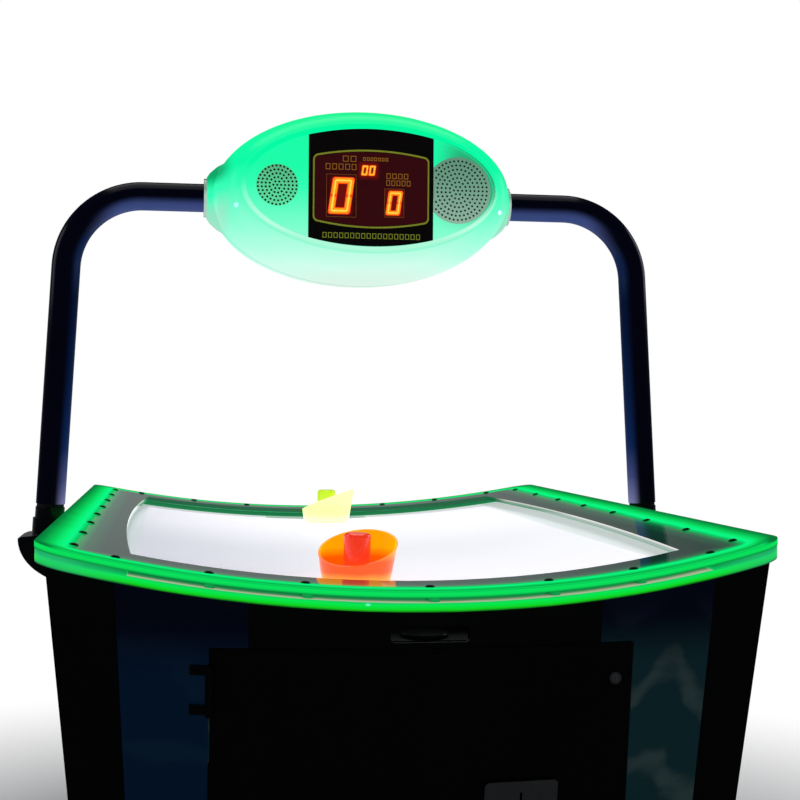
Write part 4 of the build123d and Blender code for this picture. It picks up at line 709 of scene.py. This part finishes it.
def segment_outlines(centre, width, height, stroke, lean):
    """Outlines of a leaning seven-segment zero: two bars and four uprights with mitred corners."""
    half_w, half_h, notch, cut = width / 2, height / 2, 0.05 * stroke, 0.34 * stroke
    inner_w, inner_h, middle = half_w - stroke, half_h - stroke, (width - stroke) / 2
    outlines = []
    for up in (-1, 1):
        bar = [(-half_w + cut, half_h), (half_w - cut, half_h), (half_w - cut / 2, half_h - cut / 2),
               (inner_w, inner_h), (-inner_w, inner_h), (-half_w + cut / 2, half_h - cut / 2)]
        outlines.append([(u, up * v) for u, v in bar])
        for hand in (-1, 1):
            upright = [(half_w, half_h - cut - notch), (half_w, notch + cut), (middle, notch),
                       (inner_w, notch + cut), (inner_w, inner_h - notch),
                       (half_w - cut / 3, half_h - cut / 1.5 - notch)]
            outlines.append([(hand * u, up * v) for u, v in upright])
    return [[(centre[0] + u + v * lean, centre[1] + v) for u, v in outline] for outline in outlines]


def leaning_ring(centre, width, height, stroke, corner, lean):
    """Outer and inner outline of a leaning, rounded rectangular ring."""
    outlines = []
    for inwards in (0.0, stroke):
        half_w, half_h = width / 2 - inwards, height / 2 - inwards
        radius = max(corner - inwards, 0.0002)
        outline = []
        for turn in range(16):
            t = 2 * math.pi * (turn + 0.5) / 16
            u = math.copysign(half_w - radius, math.cos(t)) + radius * math.cos(t)
            v = math.copysign(half_h - radius, math.sin(t)) + radius * math.sin(t)
            outline.append((centre[0] + u + v * lean, centre[1] + v))
        outlines.append(outline)
    return outlines


def block_row(left, low, right, high, count, line):
    """Row of plain hollow blocks, two outlines each."""
    pitch = (right - left) / count
    outlines = []
    for k in range(count):
        u, v = left + (k + 0.5) * pitch, (low + high) / 2
        half_u, half_v = pitch * 0.36, (high - low) / 2
        outlines += [box_outline(u, v, half_u, half_v), box_outline(u, v, half_u - line, half_v - line)]
    return outlines


# ---------------------------------------------------------------- display and grilles
FACE_RECESS = 0.003
GLASS_FRONT = -0.0005        # the glass stands this far out of the sign's face plane
PRINT = 0.0002               # thickness of a printed layer
CLOTH_GAP, CLOTH_THICK = 0.00005, 0.0004    # grille parts: height of the back over the recess, thickness
GRILLE_GAP, GRILLE_THICK = 0.0005, 0.0014
LEAN = math.tan(math.radians(8))
BIG_DIGIT = (-0.061, -0.018, 0.042, 0.072)
SMALL_DIGIT = (0.047, -0.030, 0.028, 0.048)
CREDIT_DIGITS = ((-0.0135, 0.0345), (0.0015, 0.0345))
CREDIT_SIZE = (0.0125, 0.0205)
BIG_STROKE, SMALL_STROKE, CREDIT_STROKE = 0.0105, 0.0078, 0.0040
HALO_SHARE = 0.16            # glow round a digit and its bright core, as shares of the stroke
CORE_SHARE = 0.30
CAPTIONS = ((-0.0605, 0.051, -0.0290, 0.063, 2), (-0.0950, 0.0345, -0.0290, 0.0465, 5),
            (-0.0185, 0.0540, 0.0350, 0.0610, 7), (0.0290, 0.0190, 0.0770, 0.0300, 4),
            (0.0290, 0.0050, 0.0815, 0.0160, 5))


def build_display(prefix, side, paints):
    """Printed frame, red screen and lit score of one display."""
    place = face_place(side, GLASS_FRONT)
    screen = flat_solid(prefix + "_score_screen", [barrel_outline(0.1145, 0.0625, 0.0125, 0.006, -0.003)],
                        place, PRINT)
    finish_piece(screen, paints["screen"], "table")
    outer = barrel_outline(0.1185, 0.0665, 0.013, 0.009, -0.003)
    inner = barrel_outline(0.1155, 0.0635, 0.0125, 0.007, -0.003)
    border = flat_solid(prefix + "_score_border", [outer, inner], place, 2 * PRINT)
    finish_piece(border, paints["border"], "table")
    raised = face_place(side, GLASS_FRONT - PRINT)
    boxes = []
    for u, v, width, height in (BIG_DIGIT, SMALL_DIGIT):
        half_u, half_v, line = width / 2 + height * 0.13, height / 2 + height * 0.10, 0.0007
        boxes += [box_outline(u, v, half_u, half_v), box_outline(u, v, half_u - line, half_v - line)]
    thin = flat_solid(prefix + "_score_boxes", boxes, raised, PRINT)
    finish_piece(thin, paints["thin"], "table")
    marks = [outline for row in CAPTIONS for outline in block_row(*row, 0.0013)]
    captions = flat_solid(prefix + "_score_marks", marks, raised, PRINT)
    finish_piece(captions, paints["marks"], "table")
    dashes = block_row(-0.100, -0.1035, 0.102, -0.0925, 18, 0.0014)
    footer = flat_solid(prefix + "_footer_marks", dashes, place, PRINT)
    finish_piece(footer, paints["border"], "table")
    digits = [(BIG_DIGIT[:2], *BIG_DIGIT[2:], BIG_STROKE), (SMALL_DIGIT[:2], *SMALL_DIGIT[2:], SMALL_STROKE)]
    digits += [(centre, *CREDIT_SIZE, CREDIT_STROKE) for centre in CREDIT_DIGITS]
    halo, body, core = [], [], []
    for centre, width, height, stroke in digits:
        glow, line = stroke * HALO_SHARE, stroke * CORE_SHARE
        wider, slimmer = 2 * glow, line - stroke
        halo += leaning_ring(centre, width + wider, height + wider, stroke + wider, stroke * 0.5, LEAN)
        body += segment_outlines(centre, width, height, stroke, LEAN)
        core += leaning_ring(centre, width + slimmer, height + slimmer, line, stroke * 0.3, LEAN)
    top = face_place(side, GLASS_FRONT - PRINT)
    for word, outlines, paint, thick in (("rims", halo, "rim", 1), ("digits", body, "segment", 2),
                                         ("digit_cores", core, "core", 3)):
        piece = flat_solid(f"{prefix}_{word}", outlines, top, thick * PRINT)
        finish_piece(piece, paints[paint], "table")


def build_grilles(prefix, side, paint, cloth):
    """Perforated speaker grilles of one face with real holes, and the black cloth behind them."""
    glass_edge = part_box("near_display_window")[1].x + 0.0006
    for word, u, radius, hole, pitch, rings in (("small", -0.190, 0.0420, 0.0023, 0.0078, 5),
                                                ("large", 0.179, 0.0680, 0.0023, 0.0086, 7)):
        centre = (u, 0.0)
        disc = [(max(a, glass_edge) if u > 0 else a, v) for a, v in ring_points(centre, radius, 96)]
        holes = [outline for outline in grille_holes(centre, hole, pitch, rings)
                 if u < 0 or min(a for a, v in outline) > glass_edge + 0.002]
        backing = [(centre[0] + (a - centre[0]) * 0.985, v * 0.985) for a, v in disc]
        if u > 0:
            backing = [(max(a, glass_edge + 0.0004), v) for a, v in backing]
        sheet = flat_solid(f"{prefix}_{word}_cloth", [backing], face_place(side, FACE_RECESS - CLOTH_GAP),
                           CLOTH_THICK)
        finish_piece(sheet, cloth, "table")
        grille = flat_solid(f"{prefix}_{word}_grille", [disc] + holes,
                            face_place(side, FACE_RECESS - GRILLE_GAP), GRILLE_THICK)
        finish_piece(grille, paint, "table")


def build_graphics():
    """Displays and grilles on both sign faces."""
    boxes = [(BIG_DIGIT[0], BIG_DIGIT[1], 0.016, 0.032), (SMALL_DIGIT[0], SMALL_DIGIT[1], 0.011, 0.022),
             (-0.006, 0.0345, 0.014, 0.0105)]
    paints = {
        "screen": screen_red(boxes),
        "border": glow_print("border_print", (118, 126, 30), 0.6),
        "thin": glow_print("thin_print", (120, 70, 16), 0.7),
        "marks": glow_print("caption_print", (142, 92, 22), 0.6),
        "rim": glow_print("digit_rim", (240, 60, 4), 0.9),
        "segment": seven_segment("segment_body", (255, 128, 8), (255, 156, 14), 1.1),
        "core": seven_segment("segment_core", (255, 196, 40), (255, 222, 96), 1.15),
    }
    grille = grille_plastic()
    # The cloth is black; its faint green is painted light from the lit sign.
    cloth = moulded("grille_cloth", (3, 16, 11), (8, 26, 18), 0.9)
    for prefix, side in SIDES:
        build_display(prefix, side, paints)
        build_grilles(prefix, side, grille, cloth)


# ---------------------------------------------------------------- paint the carried-over parts
def paint_nodes():
    """Gives every CAD node its material."""
    black = powder_coat("black_powder", (2, 2, 3), (6, 6, 8))
    laminate = black_laminate()
    board = raw_board()
    art = wave_artwork()
    enamel, arch, gasket = cast_enamel(), arch_gloss(), rubber("gasket_rubber")
    zinc = metal("zinc", (120, 122, 126), (170, 172, 176), 0.38, 900, (1, 1, 0.1))
    # The cover screws are black; their green tone is painted light from the glowing cover.
    black_screw = moulded("black_screw", (10, 26, 18), (26, 52, 38), 0.45)
    chrome = metal("chrome", (150, 152, 156), (205, 207, 211), 0.14, 1500)
    aluminium = metal("aluminium", (150, 152, 156), (196, 198, 202), 0.34, 1100, (0.1, 1, 1))
    plastic = moulded("black_plastic", (3, 3, 4), (9, 9, 10))
    # The sign's screws are no lamps: their glow is a painted highlight.
    screw_painted_glow = led_lamps("sign_screw", (150, 244, 206), (246, 255, 252), 1.1)
    cover, ring, rail, playing = smoked_cover(), lit_ring(), milky_rail(), playing_board()
    shell, collar, glass, pcb = sign_plastic(), clear_collar(), display_glass(), circuit_board()
    foot_rubber, wool = rubber("foot_rubber"), felt()
    speaker = moulded("speaker_black", (5, 7, 6), (12, 15, 13), 0.8)
    choice = {
        "cover_plate": cover, "cover_screws": black_screw, "cover_spacers": slot_pad(),
        "light_ring": ring, "rim_leds": led_lamps("rim_led_lens", (10, 160, 90), (190, 255, 240), 1.6),
        "playfield": playing, "side_rails": rail, "end_rails": rail, "deck_frame": laminate,
        "plenum_box": board, "side_panels": art, "end_panels": art, "corner_posts": laminate,
        "near_hatch": black, "far_hatch": black, "goal_chutes": plastic, "near_door": black,
        "far_door": black, "door_hinges": black, "near_lock_barrel": zinc, "far_lock_barrel": zinc,
        "near_lock_core": chrome, "far_lock_core": chrome, "bottom_board": board, "plinth": laminate,
        "near_left_foot": foot_rubber, "near_right_foot": foot_rubber, "far_left_foot": foot_rubber,
        "far_right_foot": foot_rubber, "blower_housing": plastic, "impeller": aluminium,
        "blower_motor": zinc, "power_supply": aluminium, "game_board": pcb, "mains_inlet": plastic,
        "coin_entry": zinc, "reject_button": plastic, "left_socket": enamel, "right_socket": enamel,
        "arch_joint_rings": gasket, "left_arch_tube": arch, "right_arch_tube": arch,
        "sign_near_shell": shell, "sign_far_shell": shell, "sign_collars": collar,
        "near_display_window": glass, "far_display_window": glass, "display_boards": pcb,
        "speakers": speaker, "sign_spine": zinc, "sign_frames": aluminium,
        "sign_lamps": led_lamps("sign_lamp_lens", (60, 230, 150), (230, 255, 245), 1.5),
        "sign_screws": screw_painted_glow,
        "near_mallet_cup": mallet_cup("near_mallet_cup", (252, 84, 0), (255, 160, 54), (255, 160, 0)),
        "near_mallet_knob": mallet_knob("near_mallet_knob", (255, 58, 34), (255, 96, 24), 0.7),
        "near_mallet_felt": wool,
        "far_mallet_cup": mallet_cup("far_mallet_cup", (232, 250, 156), (244, 255, 190), (238, 254, 168)),
        "far_mallet_knob": mallet_knob("far_mallet_knob", (198, 236, 16), (216, 242, 60), 0.75),
        "far_mallet_felt": wool, "puck": puck_plastic(),
    }
    for name, part in nodes.items():
        part.data.materials.clear()
        part.data.materials.append(choice[name].material)


# ---------------------------------------------------------------- studio
SURROUND = 0.035             # strength of the dim surround, and of its bright band beyond the far end
HORIZON_GLOW = 0.2
BACKDROP_RADIUS = 34.0


def emission_material(name, colour, strength):
    """Plain glowing material of the backdrop."""
    material = bpy.data.materials.new(name)
    material.use_nodes = True
    tree = material.node_tree
    tree.nodes.clear()
    glow = tree.nodes.new("ShaderNodeEmission")
    glow.inputs["Color"].default_value = colour
    glow.inputs["Strength"].default_value = strength
    output = tree.nodes.new("ShaderNodeOutputMaterial")
    tree.links.new(glow.outputs[0], output.inputs["Surface"])
    return material


def stage_mesh(name, work):
    """Stage object from a bmesh."""
    mesh = bpy.data.meshes.new(name)
    work.to_mesh(mesh)
    work.free()
    thing = bpy.data.objects.new(name, mesh)
    bpy.context.scene.collection.objects.link(thing)
    return thing


def build_studio():
    """Pale floor that runs into a white backdrop, a dim surround and soft lamps overhead."""
    work = bmesh.new()
    bmesh.ops.create_circle(work, cap_ends=True, segments=96, radius=BACKDROP_RADIUS)
    floor = stage_mesh("floor", work)
    paint = Paint("floor_paint", roughness=0.9, specular=0.1, glow=1.0)
    reach = paint.root(paint.x * paint.x + paint.y * paint.y)
    away = paint.step(reach, 0.9, 2.6)
    paint.drive(base=paint.mix(away, (226, 226, 226), (40, 40, 40)),
                emission=paint.mix(away, (70, 70, 70), (255, 255, 255)))
    floor.data.materials.append(paint.material)
    floor.visible_glossy = False
    work = bmesh.new()
    bmesh.ops.create_icosphere(work, subdivisions=4, radius=BACKDROP_RADIUS)
    dome = stage_mesh("backdrop", work)
    dome.data.materials.append(emission_material("backdrop_white", (1, 1, 1, 1), 1.0))
    dome.visible_diffuse = False
    dome.visible_glossy = False
    dome.visible_transmission = False
    dome.visible_volume_scatter = False
    dome.visible_shadow = False
    world = bpy.data.worlds.new("surround")
    bpy.context.scene.world = world
    world.use_nodes = True
    tree = world.node_tree
    background = tree.nodes["Background"]
    place = tree.nodes.new("ShaderNodeTexCoord")
    split = tree.nodes.new("ShaderNodeSeparateXYZ")
    tree.links.new(place.outputs["Generated"], split.inputs[0])
    bands = []
    for output, low, high in (("Y", 0.25, 0.85), ("Z", 0.27, 0.11)):
        band = tree.nodes.new("ShaderNodeMapRange")
        band.interpolation_type = "SMOOTHSTEP"
        for socket, value in zip(("From Min", "From Max"), (low, high)):
            band.inputs[socket].default_value = value
        tree.links.new(split.outputs[output], band.inputs["Value"])
        bands.append(band.outputs[0])
    joined = tree.nodes.new("ShaderNodeMath")
    joined.operation = "MULTIPLY"
    for socket, band in zip(joined.inputs, bands):
        tree.links.new(band, socket)
    final = tree.nodes.new("ShaderNodeMath")
    final.operation = "MULTIPLY_ADD"
    final.inputs[1].default_value = HORIZON_GLOW
    final.inputs[2].default_value = SURROUND
    tree.links.new(joined.outputs[0], final.inputs[0])
    tree.links.new(final.outputs[0], background.inputs["Strength"])
    background.inputs["Color"].default_value = (0.97, 0.98, 1.0, 1.0)
    for name, place, size, power, tint_and_glow in (
            ("overhead", (0.0, 0.2, 3.9), 3.0, 60.0, (1.0, 1.0, 1.0)),
            ("left_soft", (-3.2, 0.6, 2.3), 1.4, 16.0, (0.86, 0.88, 1.0)),
            ("right_soft", (3.2, 1.0, 2.3), 1.4, 16.0, (0.86, 0.88, 1.0))):
        lamp = bpy.data.lights.new(name, "AREA")
        lamp.shape = "SQUARE"
        lamp.size = size
        lamp.energy = power
        lamp.color = tint_and_glow
        thing = bpy.data.objects.new(name, lamp)
        thing.location = place
        aim = Vector((0.0, 0.0, 0.9)) - Vector(place)
        thing.rotation_euler = aim.to_track_quat("-Z", "Y").to_euler()
        bpy.context.scene.collection.objects.link(thing)


def build_camera():
    """Camera just behind the near player's left shoulder, looking along the table."""
    yaw, pitch, roll = 0.1547, 0.0082, 0.0079
    forward = Vector((math.sin(yaw) * math.cos(pitch), math.cos(yaw) * math.cos(pitch), math.sin(pitch)))
    level = Vector((math.cos(yaw), -math.sin(yaw), 0))
    upright = level.cross(forward)
    right = level * math.cos(roll) + upright * math.sin(roll)
    up = upright * math.cos(roll) - level * math.sin(roll)
    data = bpy.data.cameras.new("view_camera")
    data.sensor_width = 36.0
    data.lens = 64.685
    data.clip_start = 0.05
    data.clip_end = 120.0
    camera = bpy.data.objects.new("view_camera", data)
    matrix = Matrix((right, up, -forward)).transposed().to_4x4()
    matrix.translation = Vector((-0.387, -3.095, 1.068))
    camera.matrix_world = matrix
    bpy.context.scene.collection.objects.link(camera)
    bpy.context.scene.camera = camera
    bpy.context.scene.view_settings.view_transform = "Standard"


paint_nodes()
build_graphics()
build_studio()
build_camera()
